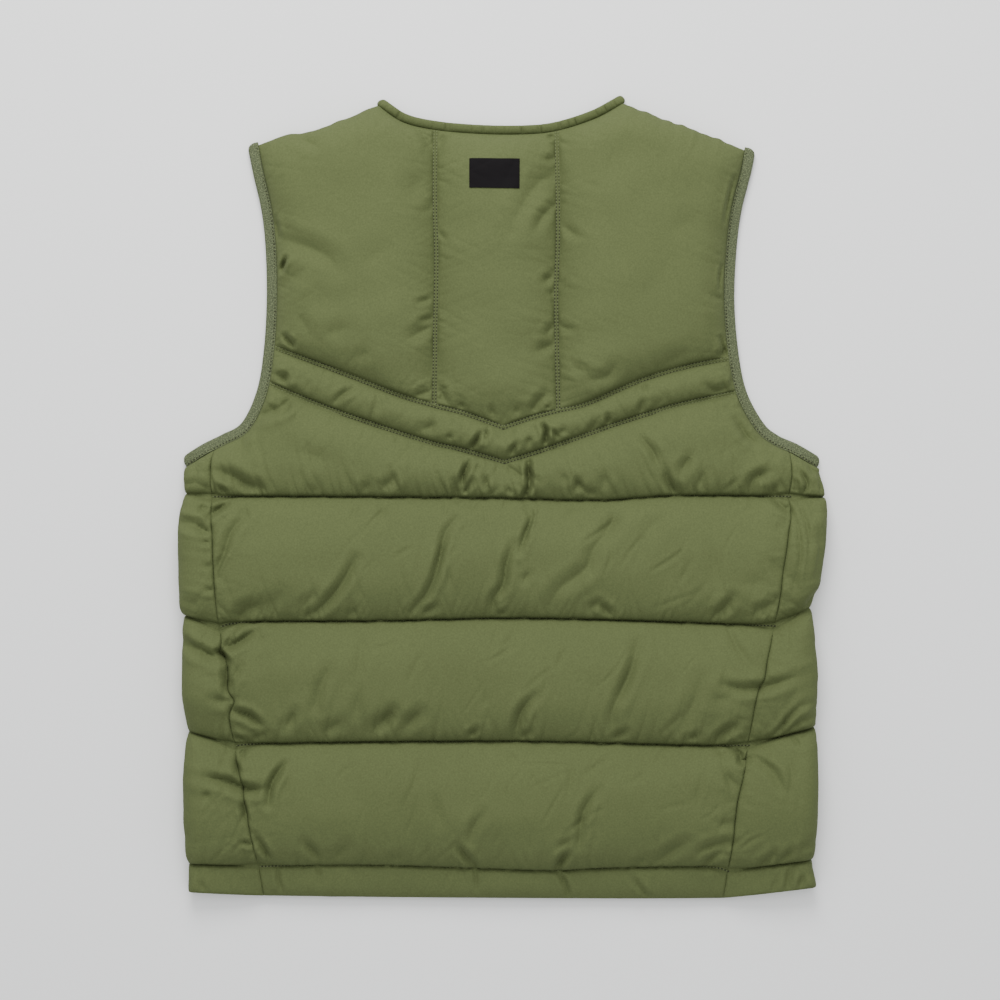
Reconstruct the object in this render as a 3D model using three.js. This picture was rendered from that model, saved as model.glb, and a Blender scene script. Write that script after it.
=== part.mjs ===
// A collarless quilted vest, laid flat on its front so that its back faces up.
// Millimetres. +X is the wearer's right, +Y runs to the neck, +Z up from the table at Z = 0.
// Every piece that is cut and sewn on is a solid of its own, and neighbours stay 0.3 mm apart.

import * as THREE from 'three';

// Driving dimensions

const GAP = 0.3;                 // between the stitched edges of two pieces
const LINING_SLACK = 1.2;        // room between the front wall and the back wall that lies on it
const SLOPE_SLACK = 2.4;         // more room where the inside slopes down to an edge
const SEAM_WALL = 3.0;           // thickness of the wall where a seam presses it together
const EDGE_REST = 3.55;          // height of the inside of the vest at its bound edges
const BODY_REST = 18.0;          // height of the inside of the vest well away from its edges
const EDGE_FADE = 40.0;          // how fast that height falls towards a bound edge
const TOP_OFFSET = 4.0;          // it falls less towards the shoulders and neck than towards the armholes
const HEM_OFFSET = 6.0;          // and less still towards the hem
const BINDING_WIDTH = 9.3;       // tape over the armhole edge
const BINDING_WALL = 3.4;        // tape and the pressed padding inside it
const BAND_WIDTH = 7.6;          // band of shell cloth along the neck
const PLACKET_HALF = 16.0;       // half the width of the strip that covers the front opening
const PLACKET_CLEAR = 1.3;       // the strip lies this far above the table, on its studs
const NECK_DEPTH = 213.0;        // Y of the lowest point of the front neckline
const CHEST_SEAM = 41.0;         // Y of the seam between a front yoke and a front body
const STUD_RADIUS = 6.25;
const STUD_HEIGHT = 1.0;
const STUD_COUNT = 6;
const STUD_INSET = 18.0;         // the first and last stud lie this far from the ends of the strip
const STUD_SIDES = 16;
const LABEL_WALL = 0.8;
const SIDE_SEAM_LOFT = 0.55;     // share of a channel's loft that stays at the side seam
const SHOULDER_LOFT = 0.1;       // share of a yoke panel's loft that stays at the shoulder
const TAPE_LOFT = 0.2;           // share of the chevron's loft that stays at the tape
const LOWEST = -0.5;             // a fold never goes deeper than this below a seam
const LINE_STEPS = 12;           // straight steps in each stretch of a smooth line

const SHELL = { color: 0x6f794f, roughness: 0.78, metalness: 0.0 };
const TAPE = { color: 0x5f6a47, roughness: 0.85, metalness: 0.0 };
const LABEL = { color: 0x282526, roughness: 0.7, metalness: 0.0 };
const STUD = { color: 0x3a3d30, roughness: 0.4, metalness: 0.9 };

// Seam lines of the back, X and Y. Lines of one half run from the outside to the centre

const NECK_SEAM = [
  [-108.0, 339.8], [-86.9, 325.4], [-58.5, 318.6], [-19.8, 315.2],
  [17.2, 314.8], [46.4, 317.8], [80.0, 328.5], [103.6, 341.6],
];
const SHOULDER_LEFT = [
  [-211.6, 305.6], [-191.8, 313.0], [-157.4, 320.8], [-123.0, 335.4], [-108.0, 341.6],
];
const SHOULDER_RIGHT = [[208.6, 301.8], [169.4, 318.2], [135.0, 331.1], [103.6, 344.0]];
const UPPER_V_LEFT = [
  [-197.1, 130.3], [-164.4, 117.8], [-127.3, 103.6], [-89.9, 88.8], [-59.1, 79.5], [-33.9, 73.1], [0.3, 60.5],
];
const UPPER_V_RIGHT = [
  [193.5, 120.4], [162.9, 114.6], [120.2, 102.3], [71.4, 81.0], [47.6, 75.2], [25.3, 69.4], [0.3, 60.5],
];
const LOWER_V_LEFT = [
  [-200.8, 98.9], [-155.1, 79.5], [-108.5, 62.8], [-61.9, 47.7], [-33.9, 41.3], [1.3, 31.0],
];
const LOWER_V_RIGHT = [[200.4, 91.2], [152.7, 81.0], [122.1, 71.9], [91.8, 61.9], [41.1, 43.5], [1.3, 31.0]];
const YOKE_SEAM_LEFT = [[-58.5, 318.6], [-58.8, 256.3], [-57.4, 204.7], [-58.5, 137.6], [-59.1, 79.5]];
const YOKE_SEAM_RIGHT = [[46.4, 317.8], [47.3, 230.5], [45.8, 178.0], [46.4, 129.0], [47.6, 75.2]];
const QUILT_1 = [[-251.1, 1.1], [-164.3, 1.1], [-19.8, 0.0], [81.7, -2.1], [148.6, 1.9], [247.7, 1.3]];
const QUILT_2 = [
  [-243.8, -110.9], [-215.9, -106.6], [-105.8, -105.8], [8.3, -103.5], [117.8, -105.8], [233.9, -110.1],
];
const QUILT_3 = [[-230.5, -213.1], [-190.1, -211.1], [0.9, -209.3], [158.8, -212.8], [211.6, -212.8]];
const HEM_STITCH = [
  [-210.7, -317.8], [-105.8, -317.0], [34.0, -321.6], [83.4, -319.7], [172.5, -318.2], [194.4, -322.1],
];
const HEM_EDGE = [[-207.0, -344.0], [-105.8, -345.3], [-2.6, -346.1], [117.8, -346.6], [190.7, -346.1]];
const SIDE_SEAM_LEFT = [
  [-251.1, 41.3], [-251.1, 1.1], [-249.6, -35.8], [-243.8, -110.9], [-237.4, -139.3],
  [-232.2, -178.0], [-230.5, -213.1], [-220.2, -251.1], [-210.7, -317.8], [-207.0, -344.0],
];
const SIDE_SEAM_RIGHT = [
  [249.1, 39.6], [247.7, 1.3], [243.8, -38.7], [233.9, -110.1], [226.7, -137.6],
  [217.6, -173.7], [211.6, -212.8], [199.5, -274.3], [194.4, -322.1], [190.7, -346.1],
];

// Free edges: armholes from the shoulder to the underarm, and the deeper edges of the front

const ARMHOLE_LEFT = [
  [-221.0, 303.6], [-216.7, 282.1], [-209.0, 247.7], [-205.5, 213.3], [-204.7, 170.3], [-207.3, 127.3],
  [-213.3, 92.9], [-226.2, 65.4], [-243.4, 55.0], [-260.6, 46.4], [-276.4, 36.4],
];
const ARMHOLE_RIGHT = [
  [218.4, 299.3], [215.0, 282.1], [206.4, 247.7], [202.1, 213.3], [200.4, 170.3], [203.8, 127.3],
  [210.7, 92.9], [225.3, 65.4], [238.2, 54.2], [255.4, 46.4], [273.8, 35.6],
];
const FRONT_ARMHOLE_CUT = 8.0;   // the front armhole lies up to this far inside the back one

// Where the front folds round the side: one row for each seam line that runs over the fold. Where the
// underarm lies follows from the tape

const FOLD_ROWS = columns('name leftX leftY rightX rightY centreY radius', [
  ['underarm', null, null, null, null, 41.0, 4.0],
  ['quilt_1', -273.9, 3.9, 276.9, 0.9, 0.0, 9.0],
  ['quilt_2', -274.3, -101.5, 264.9, -94.6, -104.0, 11.0],
  ['quilt_3', -271.3, -201.2, 268.3, -197.8, -210.0, 11.0],
  ['hem_stitch', -271.3, -315.6, 266.6, -312.2, -320.0, 8.0],
  ['hem_edge', -271.8, -339.7, 270.6, -335.4, -345.8, 5.0],
]);

// The channels between those lines: loft of the padding, and how far the fold swells

const CHANNELS = columns('name loft bulge swell rows', [
  ['channel_1', 14.0, 1.5, 4.0, 'wide'],
  ['channel_2', 19.0, 6.0, 7.0, 'wide'],
  ['channel_3', 19.0, 3.5, 7.0, 'wide'],
  ['channel_4', 19.0, 4.0, 7.0, 'wide'],
  ['hem', 3.0, 0.0, 1.0, 'narrow'],
]);
const CHANNEL_ROWS = { wide: [0, 0.05, 0.17, 0.38, 0.62, 0.83, 0.95, 1], narrow: [0, 0.15, 0.6, 1] };
const HEM = CHANNELS.length - 1;

const YOKE_LOFT = 17.0;
const CENTRE_LOFT = 14.0;
const CHEVRON_LOFT = 9.0;
const YOKE_REACH = 42.0;         // how far from a seam a yoke panel has risen to its full loft
const CHEVRON_REACH = 15.0;
const CHANNEL_REACH = 52.0;
const FIRST_CHANNEL_REACH = 34.0;
const HEM_REACH = 12.0;
const EDGE_REACH = 26.0;         // the same from a bound edge or a side seam

// The largest folds of the back: a trough from one point to another

const FOLDS = columns('x1 y1 x2 y2 width depth', [
  [-195.2, 225.3, -146.2, 196.9, 9, 5],
  [-183.2, 82.6, -213.3, 68.8, 8, 4],
  [22.4, 31.0, 19.8, 0.0, 7, 4],
  [-126.4, -51.6, -170.3, -101.5, 9, 5],
  [6.9, -36.1, -8.6, -95.5, 8, 5],
  [92.0, -24.1, 42.1, -88.6, 11, 4],
  [-218.4, -114.4, -242.5, -130.7, 7, 6],
  [-271.8, -121.3, -238.2, -138.5, 9, 6],
  [253.7, -151.4, 215.0, -161.7, 8, 8],
  [215.0, -161.7, 187.5, -160.8, 8, 5],
  [25.8, -169.4, 11.2, -203.8, 8, 5],
  [111.0, -138.5, 96.3, -172.9, 8, 4],
  [-184.0, -221.0, -201.2, -261.4, 9, 6],
  [84.3, -247.7, 67.1, -277.8, 9, 5],
  [56.8, -293.3, 46.4, -320.8, 8, 5],
  [-218.4, -280.4, -197.8, -314.8, 8, 5],
]);

// Names a short table's columns
function columns(names, rows) {
  const keys = names.split(' ');
  return rows.map((row) => Object.fromEntries(keys.map((key, index) => [key, row[index]])));
}

// A line on the table, walked by its length from 0 to 1
class Line {
  constructor(points) {
    this.points = points;
    this.reach = [0];
    for (let i = 1; i < points.length; i += 1) {
      this.reach.push(this.reach[i - 1] + points[i].distanceTo(points[i - 1]));
    }
  }

  static smooth(rows) {
    const points = rows.map(([x, y]) => new THREE.Vector2(x, y));
    return new Line(new THREE.SplineCurve(points).getPoints(LINE_STEPS * (points.length - 1)));
  }

  get length() {
    return this.reach[this.reach.length - 1];
  }

  at(share) {
    const goal = THREE.MathUtils.clamp(share, 0, 1) * this.length;
    let i = 1;
    while (i < this.reach.length - 1 && this.reach[i] < goal) i += 1;
    const step = (goal - this.reach[i - 1]) / (this.reach[i] - this.reach[i - 1]);
    return this.points[i - 1].clone().lerp(this.points[i], step);
  }

  tangent(share) {
    const step = 0.004;
    return this.at(Math.min(share + step, 1)).sub(this.at(Math.max(share - step, 0))).normalize();
  }

  // The share of the length at which one coordinate first reaches a value
  shareAt(axis, value) {
    for (let i = 1; i < this.points.length; i += 1) {
      const from = this.points[i - 1][axis];
      const to = this.points[i][axis];
      if (from !== to && (from - value) * (to - value) <= 0) {
        const step = (value - from) / (to - from);
        return (this.reach[i - 1] + step * (this.reach[i] - this.reach[i - 1])) / this.length;
      }
    }
    throw new Error(`the line never reaches ${axis} = ${value}`);
  }

  stretch(from, to) {
    const steps = Math.max(4, Math.ceil(Math.abs(to - from) * this.points.length));
    return new Line(series(0, 1, steps).map((share) => this.at(from + (to - from) * share)));
  }

  reversed() {
    return new Line([...this.points].reverse());
  }

  // The same line moved to the right of its own direction, or to the left if the width is negative
  aside(width) {
    const widthAt = typeof width === 'function' ? width : () => width;
    return new Line(this.reach.map((reach) => {
      const share = reach / this.length;
      const along = this.tangent(share);
      return this.at(share).add(new THREE.Vector2(along.y, -along.x).multiplyScalar(widthAt(share)));
    }));
  }

  distance(point) {
    let best = Infinity;
    for (let i = 1; i < this.points.length; i += 1) {
      const start = this.points[i - 1];
      const side = this.points[i].clone().sub(start);
      const step = THREE.MathUtils.clamp(point.clone().sub(start).dot(side) / side.lengthSq(), 0, 1);
      best = Math.min(best, point.distanceTo(start.clone().addScaledVector(side, step)));
    }
    return best;
  }
}

// Two lines walked one after the other, the first for the given share of the way
function inTurn(first, second, share) {
  return { at: (way) => (way <= share ? first.at(way / share) : second.at((way - share) / (1 - share))) };
}

function series(from, to, steps) {
  return Array.from({ length: steps + 1 }, (_, index) => from + ((to - from) * index) / steps);
}

// Quarter-round rise of padded cloth from a seam, 0 at the seam and 1 from the reach onwards
function rise(share) {
  const rest = 1 - THREE.MathUtils.clamp(share, 0, 1);
  return (1 - rest * rest) ** 0.6;
}

// A line whose first and last points are moved to given places, the rest following in proportion
function fitEnds(line, first, last) {
  const firstMove = first.clone().sub(line.at(0));
  const lastMove = last.clone().sub(line.at(1));
  return new Line(line.points.map((point, index) => {
    const share = line.reach[index] / line.length;
    return point.clone().addScaledVector(firstMove, 1 - share).addScaledVector(lastMove, share);
  }));
}

const neckSeam = Line.smooth(NECK_SEAM);
const quilting = [QUILT_1, QUILT_2, QUILT_3, HEM_STITCH, HEM_EDGE].map(Line.smooth);

// All seam lines of one half, each fitted to the lines that it ends on
function halfLines(sign, tables) {
  const armhole = Line.smooth(tables.armhole);
  const tape = armhole.aside(sign * BINDING_WIDTH);
  const fitFirst = (rows) => {
    const line = Line.smooth(rows);
    return fitEnds(line, tape.at(tape.shareAt('y', rows[0][1])), line.at(1));
  };
  const upperV = fitFirst(tables.upperV);
  const lowerV = fitFirst(tables.lowerV);
  const sideSeam = fitFirst(tables.sideSeam);
  const neckShare = neckSeam.shareAt('x', tables.yokeSeam[0][0]);
  const footShare = upperV.shareAt('x', tables.yokeSeam[tables.yokeSeam.length - 1][0]);
  const neck = neckSeam.stretch(sign < 0 ? 0 : 1, neckShare);
  const yokeSeam = fitEnds(Line.smooth(tables.yokeSeam), neck.at(1), upperV.at(footShare));
  const shoulder = fitEnds(Line.smooth(tables.shoulder), tape.at(0), neck.at(0));
  const tapeShares = [upperV, lowerV, sideSeam].map((line) => tape.shareAt('y', line.at(0).y));
  return {
    sign, armhole, tape, upperV, lowerV, sideSeam, neck, neckShare, footShare, yokeSeam, shoulder, tapeShares,
  };
}

const left = halfLines(-1, {
  armhole: ARMHOLE_LEFT,
  upperV: UPPER_V_LEFT,
  lowerV: LOWER_V_LEFT,
  sideSeam: SIDE_SEAM_LEFT,
  yokeSeam: YOKE_SEAM_LEFT,
  shoulder: SHOULDER_LEFT,
});
const right = halfLines(1, {
  armhole: ARMHOLE_RIGHT,
  upperV: UPPER_V_RIGHT,
  lowerV: LOWER_V_RIGHT,
  sideSeam: SIDE_SEAM_RIGHT,
  yokeSeam: YOKE_SEAM_RIGHT,
  shoulder: SHOULDER_RIGHT,
});
const hemEdge = quilting[4];

// Height of the inside of the vest, where the back wall lies on the front wall
function restHeight(point) {
  const armhole = Math.min(left.armhole.distance(point), right.armhole.distance(point));
  const top = Math.min(...[left.shoulder, right.shoulder, neckSeam].map((line) => line.distance(point)));
  const hem = hemEdge.distance(point);
  const fade = [armhole, top + TOP_OFFSET, hem + HEM_OFFSET].map((off) => 1 - Math.exp(-off / EDGE_FADE));
  return EDGE_REST + (BODY_REST - EDGE_REST) * fade[0] * fade[1] * fade[2];
}

// Height of the front wall's inner face, a little below the back wall's
function frontInner(point) {
  const height = restHeight(point);
  const share = (height - EDGE_REST) / (BODY_REST - EDGE_REST);
  return height - LINING_SLACK - 4 * SLOPE_SLACK * share * (1 - share);
}

// Depth of the folds at a point, each a soft trough that fades out towards its ends
function foldDepth(point) {
  let depth = 0;
  for (const fold of FOLDS) {
    const start = new THREE.Vector2(fold.x1, fold.y1);
    const along = new THREE.Vector2(fold.x2, fold.y2).sub(start);
    const way = point.clone().sub(start).dot(along) / along.lengthSq();
    const nearest = start.addScaledVector(along, THREE.MathUtils.clamp(way, 0, 1));
    const off = point.distanceTo(nearest) / fold.width;
    depth += fold.depth * Math.exp(-off * off);
  }
  return depth;
}

// Height of a padded wall's outer face: full loft inside, low along each of its edges
function outerHeight(point, loft, edges) {
  let share = 1;
  for (const edge of edges) {
    share *= edge.low + (1 - edge.low) * rise(edge.line.distance(point) / edge.reach);
  }
  const puff = Math.max(loft * share - foldDepth(point) * share, LOWEST);
  return restHeight(point) + GAP / 2 + SEAM_WALL + puff;
}

// A patch between four lines that share their corners
function patch(top, bottom, left, right) {
  const topLeft = top.at(0);
  const topRight = top.at(1);
  const bottomLeft = bottom.at(0);
  const bottomRight = bottom.at(1);
  return (u, v) => {
    const point = top.at(u).multiplyScalar(1 - v).addScaledVector(bottom.at(u), v);
    point.addScaledVector(left.at(v), 1 - u).addScaledVector(right.at(v), u);
    point.addScaledVector(topLeft, -(1 - u) * (1 - v)).addScaledVector(topRight, -u * (1 - v));
    return point.addScaledVector(bottomLeft, -(1 - u) * v).addScaledVector(bottomRight, -u * v);
  };
}

// A mesh from points and triangles, turned so that its faces point out
function closedMesh(name, points, triangles, finish) {
  let volume = 0;
  for (const [a, b, c] of triangles) {
    volume += points[a].dot(new THREE.Vector3().crossVectors(points[b], points[c]));
  }
  const turned = volume < 0 ? triangles.map(([a, b, c]) => [a, c, b]) : triangles;
  const geometry = new THREE.BufferGeometry();
  geometry.setAttribute('position', new THREE.Float32BufferAttribute(points.flatMap((p) => p.toArray()), 3));
  geometry.setIndex(turned.flat());
  geometry.computeVertexNormals();
  const mesh = new THREE.Mesh(geometry, new THREE.MeshStandardMaterial(finish));
  mesh.name = name;
  return mesh;
}

// Triangles of a grid of points, given row by row as the points' numbers
function gridTriangles(rows) {
  const triangles = [];
  for (let i = 1; i < rows.length; i += 1) {
    for (let j = 1; j < rows[i].length; j += 1) {
      const [a, b, c, d] = [rows[i - 1][j - 1], rows[i - 1][j], rows[i][j], rows[i][j - 1]];
      triangles.push([a, b, c], [a, c, d]);
    }
  }
  return triangles;
}

// Triangles of the strip between two rows of points that need not be equally many
function stripTriangles(upper, lower) {
  const triangles = [];
  let i = 0;
  let j = 0;
  while (i < upper.length - 1 || j < lower.length - 1) {
    const upperNext = (i + 1) / (upper.length - 1);
    const lowerNext = (j + 1) / (lower.length - 1);
    if (j === lower.length - 1 || (i < upper.length - 1 && upperNext <= lowerNext)) {
      triangles.push([upper[i], lower[j], upper[i + 1]]);
      i += 1;
    } else {
      triangles.push([upper[i], lower[j], lower[j + 1]]);
      j += 1;
    }
  }
  return triangles;
}

// The four borders of a grid in one direction round it
function borders(rows) {
  const last = rows.length - 1;
  return [
    rows[0],
    rows.map((row) => row[row.length - 1]),
    [...rows[last]].reverse(),
    rows.map((row) => row[0]).reverse(),
  ];
}

// A wall: a fine upper face over a plain lower face. The lower face has the upper one's border,
// and within it a coarser grid
function wall(name, upper, lowerHeight, coarse, finish) {
  const points = [];
  const number = (rows) => rows.map((row) => row.map((point) => points.push(point) - 1));
  const drop = (point) => lift(point, lowerHeight(new THREE.Vector2(point.x, point.y)));
  const top = number(upper);
  const field = number(coarse.map((row) => row.map(drop)));
  const topBorders = borders(top);
  const footNumbers = new Map();
  const foot = (index) => {
    if (!footNumbers.has(index)) footNumbers.set(index, points.push(drop(points[index])) - 1);
    return footNumbers.get(index);
  };
  const triangles = [...gridTriangles(top), ...gridTriangles(field).map(([a, b, c]) => [a, c, b])];
  borders(field).forEach((fieldBorder, index) => {
    const low = topBorders[index].map(foot);
    triangles.push(...stripTriangles(topBorders[index], low), ...stripTriangles(low, fieldBorder));
  });
  return closedMesh(name, points, triangles, finish);
}

// A tube of sections, joined into a ring or capped at both ends
function loft(name, sections, ring, finish, capPlane) {
  const size = sections[0].length;
  const points = sections.flat();
  const rows = sections.map((section, i) => [...series(0, size - 1, size - 1), 0].map((j) => i * size + j));
  if (ring) rows.push(rows[0]);
  const triangles = gridTriangles(rows);
  if (!ring) {
    triangles.push(...capTriangles(sections[0].map(capPlane), 0, false));
    const last = sections.length - 1;
    triangles.push(...capTriangles(sections[last].map(capPlane), last * size, true));
  }
  return closedMesh(name, points, triangles, finish);
}

// Triangles of a flat outline, along its own direction at the far end and against it at the near end
function capTriangles(outline, firstNumber, far) {
  const turn = THREE.ShapeUtils.area(outline);
  return THREE.ShapeUtils.triangulateShape(outline, []).map(([a, b, c]) => {
    const forward = THREE.ShapeUtils.area([outline[a], outline[b], outline[c]]) * turn > 0;
    return (forward === far ? [a, b, c] : [a, c, b]).map((corner) => firstNumber + corner);
  });
}

function lift(point, height) {
  return new THREE.Vector3(point.x, point.y, height);
}

// Points between four seam lines, kept half a gap inside all of them
function inside(place) {
  return (u, v) => {
    const across = GAP / 2 / place(0, v).distanceTo(place(1, v));
    const down = GAP / 2 / place(u, 0).distanceTo(place(u, 1));
    return place(across + u * (1 - 2 * across), down + v * (1 - 2 * down));
  };
}

function gridOf(place, us, vs) {
  return vs.map((v) => us.map((u) => place(u, v)));
}

// An edge of a padded piece: how far in the loft is full, and the share of it that stays at the edge
function edge(line, reach, low = 0) {
  return { line, reach, low };
}

// One padded piece of the back: bands of channels one below the other, puffed over a plain inner face
function backPiece(name, bands, us, coarseUs) {
  const upper = [];
  const coarse = [];
  bands.forEach((band, index) => {
    const rows = gridOf(band.place, us, band.vs.slice(index ? 1 : 0));
    upper.push(...rows.map((row) => row.map((p) => lift(p, outerHeight(p, band.loft, band.edges)))));
    coarse.push(...gridOf(band.place, coarseUs, band.coarseVs));
  });
  return wall(name, upper, (point) => restHeight(point) + GAP / 2, coarse, SHELL);
}

// Back yoke: two side panels and a centre panel above the chevron

const YOKE_ROWS = [0, 0.04, 0.13, 0.26, 0.4, 0.55, 0.7, 0.83, 0.93, 0.98, 1];
const YOKE_COARSE_ROWS = [0.1, 0.26, 0.42, 0.58, 0.74, 0.9];
const NECK_SHARE = 0.36;         // share of a side panel's top that lies along the neck
const SHOULDER_COLUMNS = [0, 0.05, 0.15, 0.26, 0.38, 0.5, 1 - NECK_SHARE, 0.69, 0.76, 0.84, 0.92, 0.98, 1];
const SHOULDER_COARSE_COLUMNS = [0.1, 0.28, 0.46, 1 - NECK_SHARE, 0.78, 0.92];

function yokeSide(name, half) {
  const foot = half.upperV.stretch(0, half.footShare);
  const armSide = half.tape.stretch(0, half.tapeShares[0]);
  const top = inTurn(half.shoulder, half.neck, 1 - NECK_SHARE);
  const band = {
    place: inside(patch(top, foot, armSide, half.yokeSeam)),
    loft: YOKE_LOFT,
    edges: [
      edge(half.shoulder, EDGE_REACH, SHOULDER_LOFT),
      edge(half.neck, EDGE_REACH),
      edge(half.yokeSeam, YOKE_REACH),
      edge(foot, YOKE_REACH),
      edge(armSide, EDGE_REACH),
    ],
    vs: YOKE_ROWS,
    coarseVs: YOKE_COARSE_ROWS,
  };
  return backPiece(name, [band], SHOULDER_COLUMNS, SHOULDER_COARSE_COLUMNS);
}

const CENTRE_COLUMNS = [0, 0.04, 0.13, 0.25, 0.38, 0.5, 0.62, 0.75, 0.87, 0.96, 1];
const CENTRE_COARSE_COLUMNS = [0.13, 0.5, 0.87];
const centreNeck = neckSeam.stretch(left.neckShare, right.neckShare);
const centreFoot = [left, right].map((half) => half.upperV.stretch(half.footShare, 1));
const centreEdges = [
  edge(centreNeck, EDGE_REACH),
  edge(left.yokeSeam, YOKE_REACH),
  edge(right.yokeSeam, YOKE_REACH),
  edge(centreFoot[0], YOKE_REACH),
  edge(centreFoot[1], YOKE_REACH),
];

function yokeCentre() {
  const foot = inTurn(centreFoot[0], centreFoot[1].reversed(), 0.5);
  const band = {
    place: inside(patch(centreNeck, foot, left.yokeSeam, right.yokeSeam)),
    loft: CENTRE_LOFT,
    edges: centreEdges,
    vs: YOKE_ROWS,
    coarseVs: YOKE_COARSE_ROWS,
  };
  return backPiece('back_yoke_centre', [band], CENTRE_COLUMNS, CENTRE_COARSE_COLUMNS);
}

// Chevron: one strip between the two stitched V lines

const BODY_COLUMNS = series(0, 1, 34);
const BODY_COARSE_COLUMNS = series(0.03, 0.97, 14);
const CHEVRON_ROWS = [0, 0.2, 0.5, 0.8, 1];
const CHEVRON_COARSE_ROWS = [0.3, 0.7];
const upperV = inTurn(left.upperV, right.upperV.reversed(), 0.5);
const lowerV = inTurn(left.lowerV, right.lowerV.reversed(), 0.5);

function chevron() {
  const [armLeft, armRight] = [left, right].map((half) => half.tape.stretch(...half.tapeShares.slice(0, 2)));
  const band = {
    place: inside(patch(upperV, lowerV, armLeft, armRight)),
    loft: CHEVRON_LOFT,
    edges: [
      ...[left.upperV, right.upperV, left.lowerV, right.lowerV].map((line) => edge(line, CHEVRON_REACH)),
      edge(left.tape, EDGE_REACH, TAPE_LOFT),
      edge(right.tape, EDGE_REACH, TAPE_LOFT),
    ],
    vs: CHEVRON_ROWS,
    coarseVs: CHEVRON_COARSE_ROWS,
  };
  return backPiece('back_chevron', [band], BODY_COLUMNS, BODY_COARSE_COLUMNS);
}

// Back body: four quilted channels and the turned hem, in one piece

const ARM_SHARE = 0.66;          // share of the first channel's side that lies along the armhole
const FIRST_ROWS = [0, 0.05, 0.12, 0.19, 0.26, 0.33, 0.4, 0.5, ARM_SHARE, 0.8, 0.93, 1];
const FIRST_COARSE_ROWS = [0.12, 0.3, 0.5, 0.8];
const CHANNEL_COARSE_ROWS = [0.05, 0.35, 0.65, 0.95];

// The stretch of a side seam beside one channel
function sideStretch(half, index) {
  const end = half.sign < 0 ? 0 : 1;
  const meets = (line) => half.sideSeam.shareAt('y', line.at(end).y);
  const from = index === 0 ? 0 : meets(quilting[index - 1]);
  const to = index === HEM ? 1 : meets(quilting[index]);
  return half.sideSeam.stretch(from, to);
}

const sideParts = new Map([left, right].map((half) => {
  return [half, CHANNELS.map((_, index) => sideStretch(half, index))];
}));

// One side of a channel. The first channel's runs along the armhole before it meets the side seam
function channelSide(half, index) {
  const side = sideParts.get(half)[index];
  if (index > 0) return side;
  return inTurn(half.tape.stretch(half.tapeShares[1], half.tapeShares[2]), side, ARM_SHARE);
}

function channelEdges(index) {
  const sides = [left, right].map((half) => edge(half.sideSeam, EDGE_REACH, SIDE_SEAM_LOFT));
  if (index === 0) {
    const around = [left.lowerV, right.lowerV, quilting[0]].map((line) => edge(line, FIRST_CHANNEL_REACH));
    return [...around, edge(left.tape, EDGE_REACH), edge(right.tape, EDGE_REACH), ...sides];
  }
  const reach = index === HEM ? HEM_REACH : CHANNEL_REACH;
  return [edge(quilting[index - 1], reach), edge(quilting[index], reach), ...sides];
}

function backBody() {
  const bands = CHANNELS.map((channel, index) => {
    const first = index === 0;
    const [leftSide, rightSide] = [left, right].map((half) => channelSide(half, index));
    const top = first ? lowerV : fitEnds(quilting[index - 1], leftSide.at(0), rightSide.at(0));
    const bottom = fitEnds(quilting[index], leftSide.at(1), rightSide.at(1));
    return {
      place: drawnIn(patch(top, bottom, leftSide, rightSide), first),
      loft: channel.loft,
      edges: channelEdges(index),
      vs: first ? FIRST_ROWS : CHANNEL_ROWS[channel.rows],
      coarseVs: first ? FIRST_COARSE_ROWS : CHANNEL_COARSE_ROWS,
    };
  });
  return backPiece('back_body', bands, BODY_COLUMNS, BODY_COARSE_COLUMNS);
}

// Points of the back body, kept half a gap inside its two sides and, in the first channel, its top
function drawnIn(place, topToo) {
  return (u, v) => {
    const across = GAP / 2 / place(0, v).distanceTo(place(1, v));
    const down = topToo ? GAP / 2 / place(u, 0).distanceTo(place(u, 1)) : 0;
    return place(across + u * (1 - 2 * across), down + v * (1 - down));
  };
}

// Front body: a wall under the back that folds round the side and ends at the side seam on top

const FOLD_STEPS = 7;
const LINING_STEPS = [0, 0.08, 0.2, 0.45, 1];
const UNDERARM_RUN = 3.5;        // the fold reaches this far past the end of the tape's seam
const CENTRE_SPAN = 120.0;       // how far in from the side the quilting lines level out underneath
const TURN_SHARE = 0.8;          // the inside turns this share of its own height before the fold,
const TURN_SPARE = 0.7;          // and this much closer to it

// Where a quilting line runs over the fold, at the outermost point
function foldPoint(half, index) {
  if (index === 0) return half.tape.at(1).addScaledVector(half.tape.tangent(1), UNDERARM_RUN);
  const row = FOLD_ROWS[index];
  return half.sign < 0 ? new THREE.Vector2(row.leftX, row.leftY) : new THREE.Vector2(row.rightX, row.rightY);
}

// The edges that hold the padding down on the part of the front that lies on top
function flapEdges(half, index) {
  const lines = [index, index + 1].map((line) => {
    const start = sideParts.get(half)[Math.min(line, HEM)].at(line > HEM ? 1 : 0);
    return new Line([start, foldPoint(half, line)]);
  });
  const sideEdge = edge(half.sideSeam, EDGE_REACH, SIDE_SEAM_LOFT);
  if (index === 0) return [edge(half.tape, EDGE_REACH), edge(lines[1], FIRST_CHANNEL_REACH), sideEdge];
  const reach = index === HEM ? HEM_REACH : CHANNEL_REACH;
  return [edge(lines[0], reach), edge(lines[1], reach), sideEdge];
}

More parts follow.
